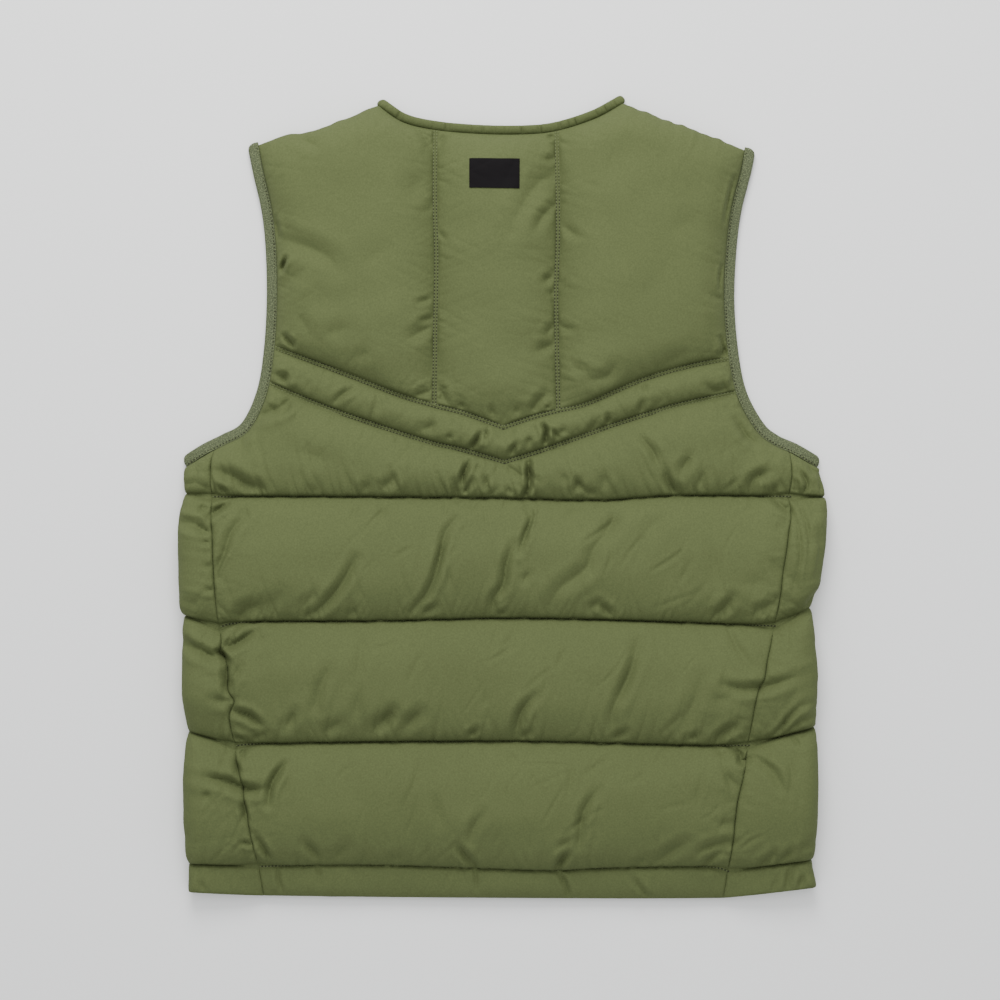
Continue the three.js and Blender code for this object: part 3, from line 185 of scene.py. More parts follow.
# Folds of the cloth, placed one by one: width, depth (below 0 for a ridge), and the places it runs through
FOLDS = [
    (9, 3.4, (-195, 225), (-155, 209), (-143, 195)),
    (5, 1.6, (-175, 310), (-161, 302)),
    (2.6, 4, (-187, 206), (-191, 196)),
    (8, 2.2, (-169, 196), (-183, 187), (-192, 177)),
    (6, 1.5, (-175, 157), (-167, 142)),
    (3, 3, (-188, 139), (-181, 131)),
    (2.8, 2.4, (-197, 241), (-194, 225)),
    (3, 1.5, (-62, 171), (-73, 168)),
    (3, 1.5, (-60, 155), (-71, 152)),
    (6, 2.5, (-62, 148), (-79, 138)),
    (12, 2, (-73, 277), (-78, 259)),
    (3.5, 1.5, (-71, 316), (-62, 302)),
    (8, 1.6, (-152, 140), (-132, 146)),
    (6, 1.2, (-126, 118), (-116, 126)),
    (4, 2, (-63, 92), (-75, 88)),
    (12, 1.2, (-93, 218), (-123, 198)),
    (5, 1.2, (-58, 252), (-68, 246)),
    (4, 1.6, (-50, 314), (-58, 304)),
    (3, 2.2, (38, 313), (46, 312)),
    (4, 1.6, (46, 292), (36, 292)),
    (8, 2.4, (44, 278), (33, 273), (22, 259), (9, 236)),
    (5, 1.8, (46, 253), (35, 243), (28, 230)),
    (4, 2, (43, 191), (35, 186)),
    (3, 1.2, (45, 175), (40, 177)),
    (9, 1.2, (11, 232), (3, 222)),
    (3, 1, (-57, 229), (-49, 222)),
    (4, 2, (-56, 95), (-52, 89), (-49, 83)),
    (4, 1.5, (-37, 82), (-35, 77)),
    (3, 1.2, (-10, 77), (-9, 71)),
    (5, 1.5, (9, 76), (15, 74)),
    (4.5, 2.4, (36, 89), (30, 82), (25, 75)),
    (3, 1.5, (40, 79), (37, 77)),
    (4, 1.6, (43, 147), (37, 141)),
    (5, 2, (43, 132), (29, 126)),
    (5, 1.5, (52, 234), (63, 224)),
    (3, 1, (48, 185), (54, 187)),
    (5, 1.2, (48, 147), (60, 144)),
    (14, 1.2, (97, 293), (78, 261)),
    (14, 1.2, (170, 244), (143, 227)),
    (14, 1, (142, 200), (118, 170)),
    (2.4, 2, (200, 277), (194, 255), (191, 237)),
    (2, 1.8, (189, 201), (187, 190), (187, 180)),
    (2.6, 2.2, (188, 138), (191, 129), (194, 121)),
    (7, 1.5, (178, 175), (191, 169)),
    (4, 2, (193, 129), (187, 120)),
    (6, 2, (96, 114), (89, 104), (73, 101)),
    (5, 1.5, (59, 114), (70, 107)),
    (9, 1.4, (161, 126), (135, 114)),
    (5, 2.5, (-185, 108), (-191, 101)),
    (4, 2, (-196, 107), (-187, 101)),
    (3.5, 2, (-129, 94), (-138, 89), (-146, 81)),
    (6, 2.5, (-56, 64), (-70, 58)),
    (3, 3.6, (-18, 57), (-23, 49), (-29, 41)),
    (2.5, 2.4, (-13, 59), (-16, 49)),
    (3, 1.5, (-45, 54), (-47, 51)),
    (3, 2.4, (11, 47), (7, 38)),
    (3, 1.5, (23, 52), (22, 47)),
    (2.8, 4.2, (34, 63), (37, 57), (36, 46)),
    (2.5, 2.4, (42, 59), (47, 52)),
    (4, 1.8, (80, 67), (77, 58), (73, 52)),
    (4, 2, (52, 59), (49, 55)),
    (4, 1, (24, 62), (29, 56)),
    (3, 2.5, (90, 70), (91, 62)),
    (3, 1.5, (120, 101), (122, 92)),
    (4, 2.2, (120, 84), (118, 72)),
    (5, 2.5, (175, 97), (183, 92), (195, 95)),
    (3, 3, (200, 109), (199, 98)),
    (6, 1.2, (-101, 84), (-110, 74)),
    (6, 1.2, (137, 86), (131, 77)),
    (5.5, 4, (-180, 88), (-194, 77), (-211, 71)),
    (4, 2.5, (-183, 80), (-189, 73)),
    (4, -1.2, (-215, 54), (-218, 45)),
    (6, 4.5, (-249, 24), (-233, 19), (-220, 11), (-206, 8)),
    (3, 2, (-245, 9), (-238, 5)),
    (5, 1.8, (-97, 15), (-103, 8)),
    (6, 1.2, (-159, 9), (-164, 4)),
    (5, 1.5, (-114, 13), (-120, 6)),
    (5, 1.8, (-92, 22), (-97, 9)),
    (8, 1.2, (-175, 41), (-149, 31)),
    (3.2, 4, (-29, 31), (-34, 20), (-35, 8)),
    (3, 2.6, (-27, 15), (-34, 3)),
    (3, 1.5, (-21, 30), (-22, 24)),
    (3.5, 1.2, (-11, 20), (-17, 11)),
    (3, 1.5, (4, 9), (7, 3)),
    (3.2, 5, (22, 33), (22, 20), (22, 9), (18, 0)),
    (3.5, 2, (3, 28), (18, 17)),
    (3.5, 1.8, (22, 23), (30, 13)),
    (3.2, 2.6, (-41, 15), (-40, 7), (-39, -1)),
    (3, 1.6, (63, 15), (72, 3)),
    (5, 1.2, (50, 20), (57, 13)),
    (4, 2, (65, 15), (61, 4)),
    (5, 1.5, (87, 20), (85, 6)),
    (4, 1.5, (74, 7), (79, 2)),
    (4, 2.2, (118, 52), (128, 40), (133, 28)),
    (5, 2.5, (160, 35), (153, 23)),
    (5, 3, (138, 22), (143, 11), (152, 2)),
    (6, 1.5, (173, 22), (167, 7)),
    (4.5, 3, (201, 66), (210, 53), (217, 47)),
    (2.6, 3.2, (206, 83), (213, 72), (223, 63)),
    (5, 3.5, (230, 23), (216, 17), (213, 7)),
    (4, 1.5, (236, 11), (232, 3)),
    (3, 2, (263, 30), (268, 19), (267, 6)),
    (3, 2, (256, 24), (262, 12), (259, 4)),
    (3, 1.8, (273, 21), (274, 6)),
    (3, 1, (250, 15), (253, 5)),
    (3.5, 4, (-238, -5), (-252, -15)),
    (6, 1.2, (-221, -8), (-225, -15)),
    (3.5, 2.5, (-263, -9), (-252, -9)),
    (5, 3.5, (-270, -18), (-262, -24), (-252, -30)),
    (3, 1.5, (-257, -37), (-250, -39)),
    (3, 1.2, (-255, -58), (-249, -59)),
    (3, 1.2, (-255, -79), (-248, -79)),
    (5, 1.5, (-264, -88), (-269, -96)),
    (4.5, 2.4, (-221, -15), (-233, -30), (-238, -46), (-245, -64)),
    (2.5, -1.2, (-233, -46), (-239, -57), (-243, -67)),
    (5, 3.5, (-126, -52), (-139, -75), (-156, -94), (-169, -101)),
    (5, 1.5, (-158, -81), (-173, -94)),
    (5, 1.5, (-101, -5), (-106, -20)),
    (5, 1.5, (-126, -95), (-132, -102)),
    (7, 3.5, (-208, -91), (-222, -98), (-226, -108)),
    (7, 1.5, (-190, -79), (-203, -99)),
    (4, 2.8, (-40, -17), (-50, -32), (-56, -60), (-66, -83), (-79, -98)),
    (4, 2, (-58, -93), (-69, -99)),
    (4.5, 3.2, (9, -39), (3, -56), (0, -74), (-8, -87), (-9, -100)),
    (3, 1.5, (1, -97), (-3, -101)),
    (3.5, 2.6, (26, -15), (18, -34), (14, -47)),
    (2, -1.2, (28, -10), (26, -21), (22, -32)),
    (4, 1.5, (22, -64), (18, -71)),
    (7, 3, (94, -22), (78, -43), (71, -60), (48, -78), (41, -91)),
    (4, 1.6, (80, -89), (75, -95)),
    (4, 2.5, (83, -91), (92, -100)),
    (5, 1.2, (-22, -3), (-30, -11)),
    (4, 1.5, (20, -3), (22, -15)),
    (5, 1, (67, -4), (55, -15)),
    (8, 1.8, (146, -12), (125, -26), (115, -50)),
    (6, 2, (97, -12), (88, -33)),
    (5, 3, (196, -85), (189, -95), (182, -101)),
    (5, 2, (233, -89), (215, -99)),
    (4, 3, (233, 0), (240, -7), (247, -12)),
    (6, 1.2, (233, -22), (241, -28)),
    (7, 1.5, (227, -57), (240, -63)),
    (8, 1.2, (204, -74), (229, -71)),
    (8, 1.2, (179, -44), (181, -77)),
    (3, 1.1, (253, -2), (260, -23), (262, -46), (258, -72)),
    (3, 1.1, (261, -1), (268, -21), (272, -43), (267, -69)),
    (3, 1, (246, -7), (253, -28), (254, -53), (248, -79)),
    (5, 2, (265, -83), (254, -99), (241, -107)),
    (4, 1.8, (273, -79), (261, -94)),
    (6, 1.5, (243, -66), (250, -74)),
    (4.5, 5, (-213, -114), (-228, -124), (-243, -131)),
    (4, 2.5, (-230, -112), (-236, -124)),
    (3, 5, (-243, -132), (-237, -138)),
    (5, 4, (-271, -122), (-255, -133), (-238, -139)),
    (6, 2, (-203, -119), (-221, -126)),
    (4, 3, (-235, -143), (-237, -151), (-236, -163)),
    (4, 2, (-225, -144), (-232, -157), (-236, -166)),
    (6, 2, (-149, -145), (-158, -165)),
    (6, 1.5, (-119, -119), (-126, -158)),
    (4, 4, (-232, -182), (-218, -186), (-208, -194)),
    (5, 2.5, (-247, -172), (-233, -174)),
    (5, 2.5, (-178, -183), (-185, -197)),
    (5, 2, (-157, -163), (-161, -181)),
    (5, 1.5, (-123, -164), (-126, -186)),
    (7, 3, (-95, -182), (-111, -200)),
    (6, 2, (-139, -192), (-153, -201)),
    (5, 2, (-204, -201), (-214, -207)),
    (3, 2, (-230, -205), (-221, -209)),
    (5, 3.5, (26, -169), (15, -185), (11, -205)),
    (6, 3, (-71, -183), (-83, -196)),
    (5, 2, (-95, -183), (-103, -196)),
    (3.5, 2.2, (-23, -198), (-28, -204)),
    (5, 2, (111, -143), (101, -165), (93, -185), (95, -204)),
    (4, 2, (105, -200), (96, -206)),
    (4, 1.5, (24, -200), (15, -206)),
    (5, 1, (9, -119), (5, -128)),
    (6, 2.5, (116, -120), (108, -152), (100, -169)),
    (5, 1.8, (194, -113), (201, -129), (213, -144)),
    (5, 3.6, (249, -153), (235, -158), (220, -162), (204, -163), (188, -159)),
    (8, 2, (204, -167), (180, -173)),
    (7, 2.2, (169, -154), (163, -174), (150, -199)),
    (3, 1, (249, -181), (236, -200), (223, -211)),
    (9, 1.6, (261, -131), (257, -150), (248, -169), (236, -190)),
    (4.5, 3, (200, -194), (187, -203), (183, -211)),
    (4, 2, (166, -203), (160, -207)),
    (3, 1.2, (262, -169), (247, -186), (234, -202)),
    (3, 1.2, (268, -181), (253, -193), (239, -205)),
    (4, 4, (-187, -227), (-198, -244), (-201, -262)),
    (5, 5, (-254, -239), (-236, -243), (-221, -249), (-206, -249)),
    (5, 2, (-252, -251), (-255, -257)),
    (3.5, 2.5, (-213, -289), (-200, -310)),
    (3, 2.5, (-223, -261), (-220, -275)),
    (3, 2, (-224, -295), (-215, -297)),
    (5, 2.5, (-170, -295), (-158, -309)),
    (6, 1.8, (-134, -298), (-144, -310)),
    (3, 2.5, (-221, -214), (-226, -221)),
    (3, 2, (-230, -224), (-226, -238)),
    (5, 2, (-17, -269), (-25, -282), (-28, -293)),
    (4, 3, (-39, -299), (-28, -313), (-24, -318)),
    (5, 1.2, (-58, -256), (-53, -280)),
    (4.5, 2.5, (80, -250), (68, -271), (65, -299)),
    (4, 1.8, (57, -293), (48, -299)),
    (4, 4, (55, -304), (46, -319)),
    (4, 1, (3, -217), (11, -226)),
    (6, 1.2, (-87, -308), (-97, -312)),
    (3.5, 4, (197, -214), (203, -219), (205, -225), (210, -224)),
    (4, 1.5, (185, -217), (192, -219)),
    (5, 2, (189, -236), (203, -249)),
    (6, 1.5, (187, -280), (199, -277)),
    (5, 3, (196, -295), (180, -298), (169, -304)),
    (4, 3.2, (187, -304), (178, -310), (174, -318)),
    (6, 2.5, (157, -295), (143, -304), (130, -314)),
    (5, 1.5, (122, -309), (116, -316)),
    (5, -1.6, (212, -214), (234, -229), (243, -244)),
    (5, 2, (215, -221), (231, -234), (238, -248)),
    (3, 1.5, (248, -204), (254, -212)),
    (3, 1.2, (256, -202), (261, -209)),
    (4, 2, (234, -304), (222, -316)),
    (4, 2, (248, -302), (236, -314)),
    (4, 1.5, (261, -293), (256, -304)),
    (3, 2, (46, -319), (54, -334), (57, -345)),
    (2.5, 1, (-24, -318), (-23, -338)),
    (2.5, 1, (-194, -317), (-194, -329), (-190, -341)),
    (3, 1, (-262, -330), (-257, -338)),
    (2.5, 0.8, (-161, -317), (-159, -323)),
    (3, 1.6, (111, -326), (120, -339), (128, -346)),
    (3.5, 1.6, (247, -317), (244, -339)),
    (3.5, 1.6, (259, -325), (255, -336)),
    (3, 1, (236, -326), (233, -339)),
]


# Form of a fold: lengths across it are in its own widths

FOLD_REACH = 3.0         # it is felt this far from its middle
FOLD_SOFT = 0.3          # share of its depth that is round, the rest being a crease
FOLD_SHARP = 2.3         # how fast the crease falls off
FOLD_ROUND = 0.3         # the crease is rounded this far at its foot
LIP_HEIGHT = 0.3         # of the lip beside it, as a share of the depth
LIP_PLACE = 1.7
LIP_WIDTH = 0.8
FOLD_ENDS = 0.06         # both ends are cut off the sine that runs along it, by this share of its length
FOLD_FADE = 0.6          # power of that sine
WIDE_DEPTH = 0.8         # a wide fold is this much of its depth in the table
NARROW_DEPTH = 0.6       # a narrow one is up to this much deeper than a wide one
NARROW_WIDTH = 4.5

# What is drawn at random. Two numbers are the least and the most

WAVE_COUNT = 6
WAVE_LENGTHS = (9, 46)
WAVE_SHARES = (0.3, 1)   # of the size that a wavy line is given
WAVE_ENDS = 25           # the waves of a line grow over this length from its ends
WAVE_STEP = 2            # from point to point of a line drawn anew with its waves
QUILT_WAVE = 0.14
SHOULDER_WAVE = 0.35
CRINKLE_COUNT = 120
CRINKLE_X = (-245, 245)
CRINKLE_Y = (-325, 20)
CRINKLE_TURN = (62, 24)  # mean and spread of the direction, in degrees
CRINKLE_HALF = (6, 20)   # half the length
CRINKLE_BEND = (-1.8, 1.8)
CRINKLE_WIDTHS = (1.5, 3.4)
CRINKLE_DEPTHS = (0.08, 0.24)
SWELL_COUNT = 9
SWELL_LENGTHS = (26, 80)
SWELL_HEIGHT = 0.32
PUCKER_COUNT = 4
PUCKER_WIDTHS = (5.5, 14)
PUCKER_SLANTS = (-0.6, 0.6)
PUCKER_SPANS = (26, 70)  # length of the stretches in which a seam puckers more or less
PUCKER_LEVEL = 1.3
PUCKER_CREASE = 0.6
PUCKER_MEAN = 8          # width of a pucker that is as high as asked for
PUCKER_PULL = 2.1        # puckers reach this many of their own widths from a seam
PUCKER_TOP = 0.7         # share of the pucker depth on top of the vest
RISE_POWER = 0.6


class Line:
    """A line on the table, walked by its length from 0 to 1."""

    def __init__(self, points, waves=()):
        self.points = np.asarray(points, dtype=float)
        self.waves = waves
        steps = np.linalg.norm(np.diff(self.points, axis=0), axis=1)
        self.reach = np.concatenate(([0.0], np.cumsum(steps)))
        self.length = self.reach[-1]

    @classmethod
    def smooth(cls, rows):
        """A Catmull-Rom curve through the rows, in equal steps between each two of them."""
        rows = np.asarray(rows, dtype=float)
        padded = np.vstack((rows[:1], rows, rows[-1:]))
        t = (np.arange(LINE_STEPS) / LINE_STEPS)[None, :, None]
        p0, p1, p2, p3 = (padded[start : start + len(rows) - 1, None] for start in range(4))
        v0, v1 = (p2 - p0) / 2, (p3 - p1) / 2
        square, cube = -3 * p1 + 3 * p2 - 2 * v0 - v1, 2 * p1 - 2 * p2 + v0 + v1
        curve = cube * t**3 + square * t**2 + v0 * t + p1
        return cls(np.vstack((curve.reshape(-1, 2), rows[-1:])))

    def at(self, share):
        goal = np.clip(share, 0, 1) * self.length
        return np.stack([np.interp(goal, self.reach, self.points[:, axis]) for axis in (0, 1)], axis=-1)

    def tangent(self, share, step=0.004):
        before, after = np.maximum(np.subtract(share, step), 0), np.minimum(np.add(share, step), 1)
        ahead = self.at(after) - self.at(before)
        return ahead / np.linalg.norm(ahead, axis=-1, keepdims=True)

    def share_at(self, axis, value):
        """The share of the length at which one coordinate first reaches a value."""
        along = self.points[:, axis]
        crossing = np.nonzero((along[:-1] - value) * (along[1:] - value) <= 0)[0]
        if not len(crossing):
            raise ValueError(f"the line never reaches {value}")
        i = crossing[0]
        step = (value - along[i]) / (along[i + 1] - along[i])
        return (self.reach[i] + step * (self.reach[i + 1] - self.reach[i])) / self.length

    def stretch(self, start, end):
        steps = max(4, math.ceil(abs(end - start) * len(self.points)))
        return Line(self.at(np.linspace(start, end, steps + 1)))

    def reversed(self):
        return Line(self.points[::-1])

    def aside(self, width):
        """The line moved to its own right by a width, which is a number or a function of the share."""
        share = self.reach / self.length
        along = self.tangent(share)
        widths = width(share) if callable(width) else np.full(len(share), float(width))
        return Line(self.at(share) + np.stack((along[:, 1], -along[:, 0]), axis=1) * widths[:, None])

    def nearest(self, points):
        """Distance to the line, and the length walked to the nearest place on it."""
        square = np.full(len(points), np.inf)
        walked, side = np.zeros(len(points)), np.zeros(len(points))
        for start, end, reach in zip(self.points[:-1], self.points[1:], self.reach[:-1]):
            along = end - start
            size = along @ along
            if size == 0:
                continue
            off = points - start
            step = np.clip(off @ along / size, 0, 1)
            gap = off - step[:, None] * along
            here = gap[:, 0] ** 2 + gap[:, 1] ** 2
            closer = here < square
            square[closer] = here[closer]
            walked[closer] = reach + step[closer] * math.sqrt(size)
            side[closer] = np.sign(along[0] * gap[closer, 1] - along[1] * gap[closer, 0])
        off = np.sqrt(square)
        if self.waves:
            off = np.abs(side * off - self.wave(walked) * np.exp(-off / WAVE_FADE))
        return off, walked

    def wave(self, walked):
        """How far the line strays to its left: a sum of sines, none at its ends."""
        total = 0
        for size, length, phase in self.waves:
            total = total + size * np.sin(2 * math.pi * walked / length + phase)
        return total * np.clip(np.minimum(walked, self.length - walked) / WAVE_ENDS, 0, 1)

    def moved_by_wave(self):
        """The line drawn anew with its waves as its own form."""
        share = np.linspace(0, 1, int(self.length / WAVE_STEP))
        along = self.tangent(share)
        left = np.stack((-along[:, 1], along[:, 0]), axis=1)
        return Line(self.at(share) + left * self.wave(share * self.length)[:, None])


class InTurn:
    """Two lines walked one after the other, the first for the given share of the way."""

    def __init__(self, first, second, share):
        self.first, self.second, self.share = first, second, share

    def at(self, way):
        way = np.asarray(way, dtype=float)
        before = self.first.at(way / self.share)
        after = self.second.at((way - self.share) / (1 - self.share))
        return np.where((way <= self.share)[..., None], before, after)


def fit_ends(line, first, last):
    """A line whose ends are moved to given places, the rest following in proportion."""
    share = (line.reach / line.length)[:, None]
    moved = line.points + (first - line.at(0)) * (1 - share) + (last - line.at(1)) * share
    return Line(moved)


class Half:
    """All seam lines of one half, each fitted to the lines that it ends on. sign is -1 on the left."""

    def __init__(self, sign, rows):
        self.sign = sign
        self.armhole = Line.smooth(rows["armhole"])
        self.tape = self.armhole.aside(sign * BINDING_WIDTH)
        self.upper_v, self.lower_v, self.side_seam = (
            self.fit_first(rows[name]) for name in ("upper_v", "lower_v", "side_seam")
        )
        self.neck_share = NECK.share_at(0, rows["yoke_seam"][0][0])
        self.foot_share = self.upper_v.share_at(0, rows["yoke_seam"][-1][0])
        self.neck = NECK.stretch(0 if sign < 0 else 1, self.neck_share)
        foot = self.upper_v.at(self.foot_share)
        self.yoke_seam = fit_ends(Line.smooth(rows["yoke_seam"]), self.neck.at(1), foot)
        shoulder = fit_ends(Line.smooth(rows["shoulder"]), self.tape.at(0), self.neck.at(0))
        self.shoulder = wavy(shoulder, 30 + sign, SHOULDER_WAVE).moved_by_wave()
        lines = (self.upper_v, self.lower_v, self.side_seam)
        self.tape_shares = [self.tape.share_at(1, line.at(0)[1]) for line in lines]
        self.side_parts = [self.side_stretch(index) for index in range(len(CHANNELS))]

    def fit_first(self, rows):
        line = Line.smooth(rows)
        return fit_ends(line, self.tape.at(self.tape.share_at(1, rows[0][1])), line.at(1))

    def side_stretch(self, index):
        """The stretch of the side seam beside one channel."""
        end = 0 if self.sign < 0 else 1
        heights = [None] + [line.at(end)[1] for line in QUILTS[:HEM]] + [None]
        start = 0 if index == 0 else self.side_seam.share_at(1, heights[index])
        stop = 1 if index == HEM else self.side_seam.share_at(1, heights[index + 1])
        return self.side_seam.stretch(start, stop)

    def fold_point(self, index):
        """Where a quilting line runs over the fold, at the outermost point."""
        if index == 0:
            return self.tape.at(1) + self.tape.tangent(1) * UNDERARM_RUN
        row = FOLD_ROWS[index]
        return np.array(row.left if self.sign < 0 else row.right)

    def front_tape(self):
        """The front's seam with the tape: the back's, cut deeper between the shoulder and the underarm."""
        under = self.tape_shares[2]

        def cut(share):
            hollow = FRONT_ARMHOLE_CUT * np.sin(math.pi * share / under) ** 2
            return self.sign * np.where(share < under, hollow, 0)

        return self.tape.aside(cut)

    def front_neck(self):
        """The front's seam with the neck band: a cubic Bezier from the shoulder to the front opening."""
        start = self.neck.at(0)
        end = np.array((self.sign * (PLACKET_HALF + 3 * GAP), NECK_DEPTH - BAND_WIDTH))
        hollow = np.array((self.sign * NECK_HOLLOW, end[1]))
        turns = (start, start + self.neck.tangent(0) * NECK_TURN, hollow, end)
        t = np.linspace(0, 1, 4 * LINE_STEPS + 1)[:, None]
        weights = ((1 - t) ** 3, 3 * t * (1 - t) ** 2, 3 * t**2 * (1 - t), t**3)
        return Line(sum(weight * turn for weight, turn in zip(weights, turns)))


def wavy(line, seed, size):
    """The line with slight drawn waves, as padding pushes the sewn cloth about."""
    draw = np.random.default_rng(seed)
    waves = [
        (size * draw.uniform(*WAVE_SHARES), draw.uniform(*WAVE_LENGTHS), draw.uniform(0, 2 * math.pi))
        for _ in range(WAVE_COUNT)
    ]
    return Line(line.points, waves)


NECK = Line.smooth(NECK_SEAM)
QUILTS = [Line.smooth(rows) for rows in QUILT_LINES]
WAVY_QUILTS = [wavy(line, seed, QUILT_WAVE) for seed, line in enumerate(QUILTS[:HEM])]
LEFT = Half(-1, LEFT_LINES)
RIGHT = Half(1, RIGHT_LINES)
HALVES = (LEFT, RIGHT)


def form():
    """The sizes that the sidebar holds."""
    return bpy.context.scene.vest_form


def pucker_height():
    return form().pucker_depth / METRE


def mix(first, last, share):
    return first + (last - first) * share


def spread(steps, crowd=0.45):
    """Shares from 0 to 1 that lie closer together at both ends: t mixed with (1 - cos(pi t)) / 2."""
    t = np.linspace(0, 1, steps + 1)
    return (1 - crowd) * t + crowd * (1 - np.cos(math.pi * t)) / 2


def rise(share, power=RISE_POWER):
    """Rise of padded cloth from a seam: (1 - (1 - s)^2)^p, a quarter round where p is 0.5."""
    rest = 1 - np.clip(share, 0, 1)
    return (1 - rest * rest) ** power


def rest_height(points):
    """Height of the inside of the vest: it falls off exponentially towards the armholes, top and hem."""
    shape = points.shape[:-1]
    flat = points.reshape(-1, 2)
    armhole = np.minimum(*(half.armhole.nearest(flat)[0] for half in HALVES))
    top = np.minimum(*(half.shoulder.nearest(flat)[0] for half in HALVES))
    top = np.minimum(top, NECK.nearest(flat)[0])
    hem = QUILTS[HEM].nearest(flat)[0]
    share = 1.0
    for off in (armhole, top + TOP_OFFSET, hem + HEM_OFFSET):
        share = share * (1 - np.exp(-off / EDGE_FADE))
    return (EDGE_REST + (BODY_REST - EDGE_REST) * share).reshape(shape)


def back_inner(points):
    return rest_height(points) + GAP / 2


def front_inner(points):
    """Height of the front wall's inner face, a little below the back wall's and most so on the slopes."""
    height = rest_height(points)
    share = (height - EDGE_REST) / (BODY_REST - EDGE_REST)
    return height - LINING_SLACK - 4 * SLOPE_SLACK * share * (1 - share)


def crinkles():
    """Short slight folds drawn all over the channels, most of them falling to the left as the placed ones.
    Each is a row as in the table: width, depth, and its first, middle and last place."""
    draw = np.random.default_rng(5)
    rows = []
    for _ in range(CRINKLE_COUNT):
        middle = np.array((draw.uniform(*CRINKLE_X), draw.uniform(*CRINKLE_Y)))
        turn = math.radians(draw.normal(*CRINKLE_TURN))
        reach = draw.uniform(*CRINKLE_HALF) * np.array((math.cos(turn), math.sin(turn)))
        bend = draw.uniform(*CRINKLE_BEND) * np.array((-math.sin(turn), math.cos(turn)))
        width = draw.uniform(*CRINKLE_WIDTHS)
        depth = draw.uniform(*CRINKLE_DEPTHS) * width
        rows.append((width, depth, middle + reach, middle + bend, middle - reach))
    return rows


def folds(points):
    """Sum of the folds at each place, each times sin(pi t)^0.6 along it. Across it, with d in widths, it is
    -depth * (0.3 exp(-d^2) + 0.7 exp(-2.3 (sqrt(d^2 + 0.3^2) - 0.3))), creased in the middle, plus a lip
    beside it, 0.3 depth * exp(-((d - 1.7) / 0.8)^2). Narrow folds are up to 1.4 times as deep as their
    table says, and wide ones 0.8 times."""
    field = np.zeros(len(points))
    for width, depth, *places in (*FOLDS, *CRINKLES):
        line = Line.smooth(places)
        reach = FOLD_REACH * width
        low, high = line.points.min(axis=0) - reach, line.points.max(axis=0) + reach
        near = np.all((points > low) & (points < high), axis=1)
        if not near.any():
            continue
        off, way = line.nearest(points[near])
        across = off / width
        bent = np.sqrt(across**2 + FOLD_ROUND**2) - FOLD_ROUND
        crease = FOLD_SOFT * np.exp(-(across**2)) + (1 - FOLD_SOFT) * np.exp(-FOLD_SHARP * bent)
        profile = LIP_HEIGHT * np.exp(-(((across - LIP_PLACE) / LIP_WIDTH) ** 2)) - crease
        along = np.clip(FOLD_ENDS + (1 - 2 * FOLD_ENDS) * way / line.length, 0, 1)
        strength = np.sin(math.pi * along) ** FOLD_FADE
        sharp = WIDE_DEPTH + NARROW_DEPTH * math.exp(-((width / NARROW_WIDTH) ** 2))
        field[near] += form().fold_depth * sharp * depth * profile * strength
    return field


def unevenness(points):
    """Slow swelling of the padding: a sum of sine waves in drawn directions, the longer the higher."""
    draw = np.random.default_rng(11)
    field = np.zeros(len(points))
    for _ in range(SWELL_COUNT):
        length, turn = draw.uniform(*SWELL_LENGTHS), draw.uniform(0, math.pi)
        phase = draw.uniform(0, 2 * math.pi)
        along = points[:, 0] * math.cos(turn) + points[:, 1] * math.sin(turn)
        field += np.sin(2 * math.pi * along / length + phase) * length / SWELL_LENGTHS[1]
    return SWELL_HEIGHT * field


CRINKLES = crinkles()

# An edge that holds padding down: where it runs, how far in the loft is full, the share of it that stays
# at the edge, the pressed strip beside it, how strongly it puckers and with which seed, how far it is pulled
# in, whether folds run across it, how far the puckers reach, and the power of the rise from it
Edge = namedtuple("Edge", "line reach low flat pucker seed notch crossed pull power",
                  defaults=(0.0, 0.0, 1.0, 1, 0.0, False, PUCKER_PULL, RISE_POWER))


def puckers(off, way, seed, pull):
    """Small folds square to a seam, as the sum of waves 2 |sin|^0.6 - 1 along it, which are creased where
    the cloth is pulled in and slant a little. The wider ones are higher and reach further from the seam,
    pull widths in all, and all are stronger in some stretches than in others."""
    draw = np.random.default_rng(seed)
    total = np.zeros(len(off))
    for _ in range(PUCKER_COUNT):
        width, slant, phase = (
            draw.uniform(*ends) for ends in (PUCKER_WIDTHS, PUCKER_SLANTS, (0, math.pi))
        )
        span, start = draw.uniform(*PUCKER_SPANS), draw.uniform(0, 2 * math.pi)
        level = np.clip(PUCKER_LEVEL * np.sin(2 * math.pi * way / span + start), 0, 1)
        arcs = np.abs(np.sin(math.pi * (way + slant * off) / width + phase))
        wave = 2 * arcs**PUCKER_CREASE - 1
        total += wave * level * np.exp(-off / (pull * width)) * width / PUCKER_MEAN
    return total


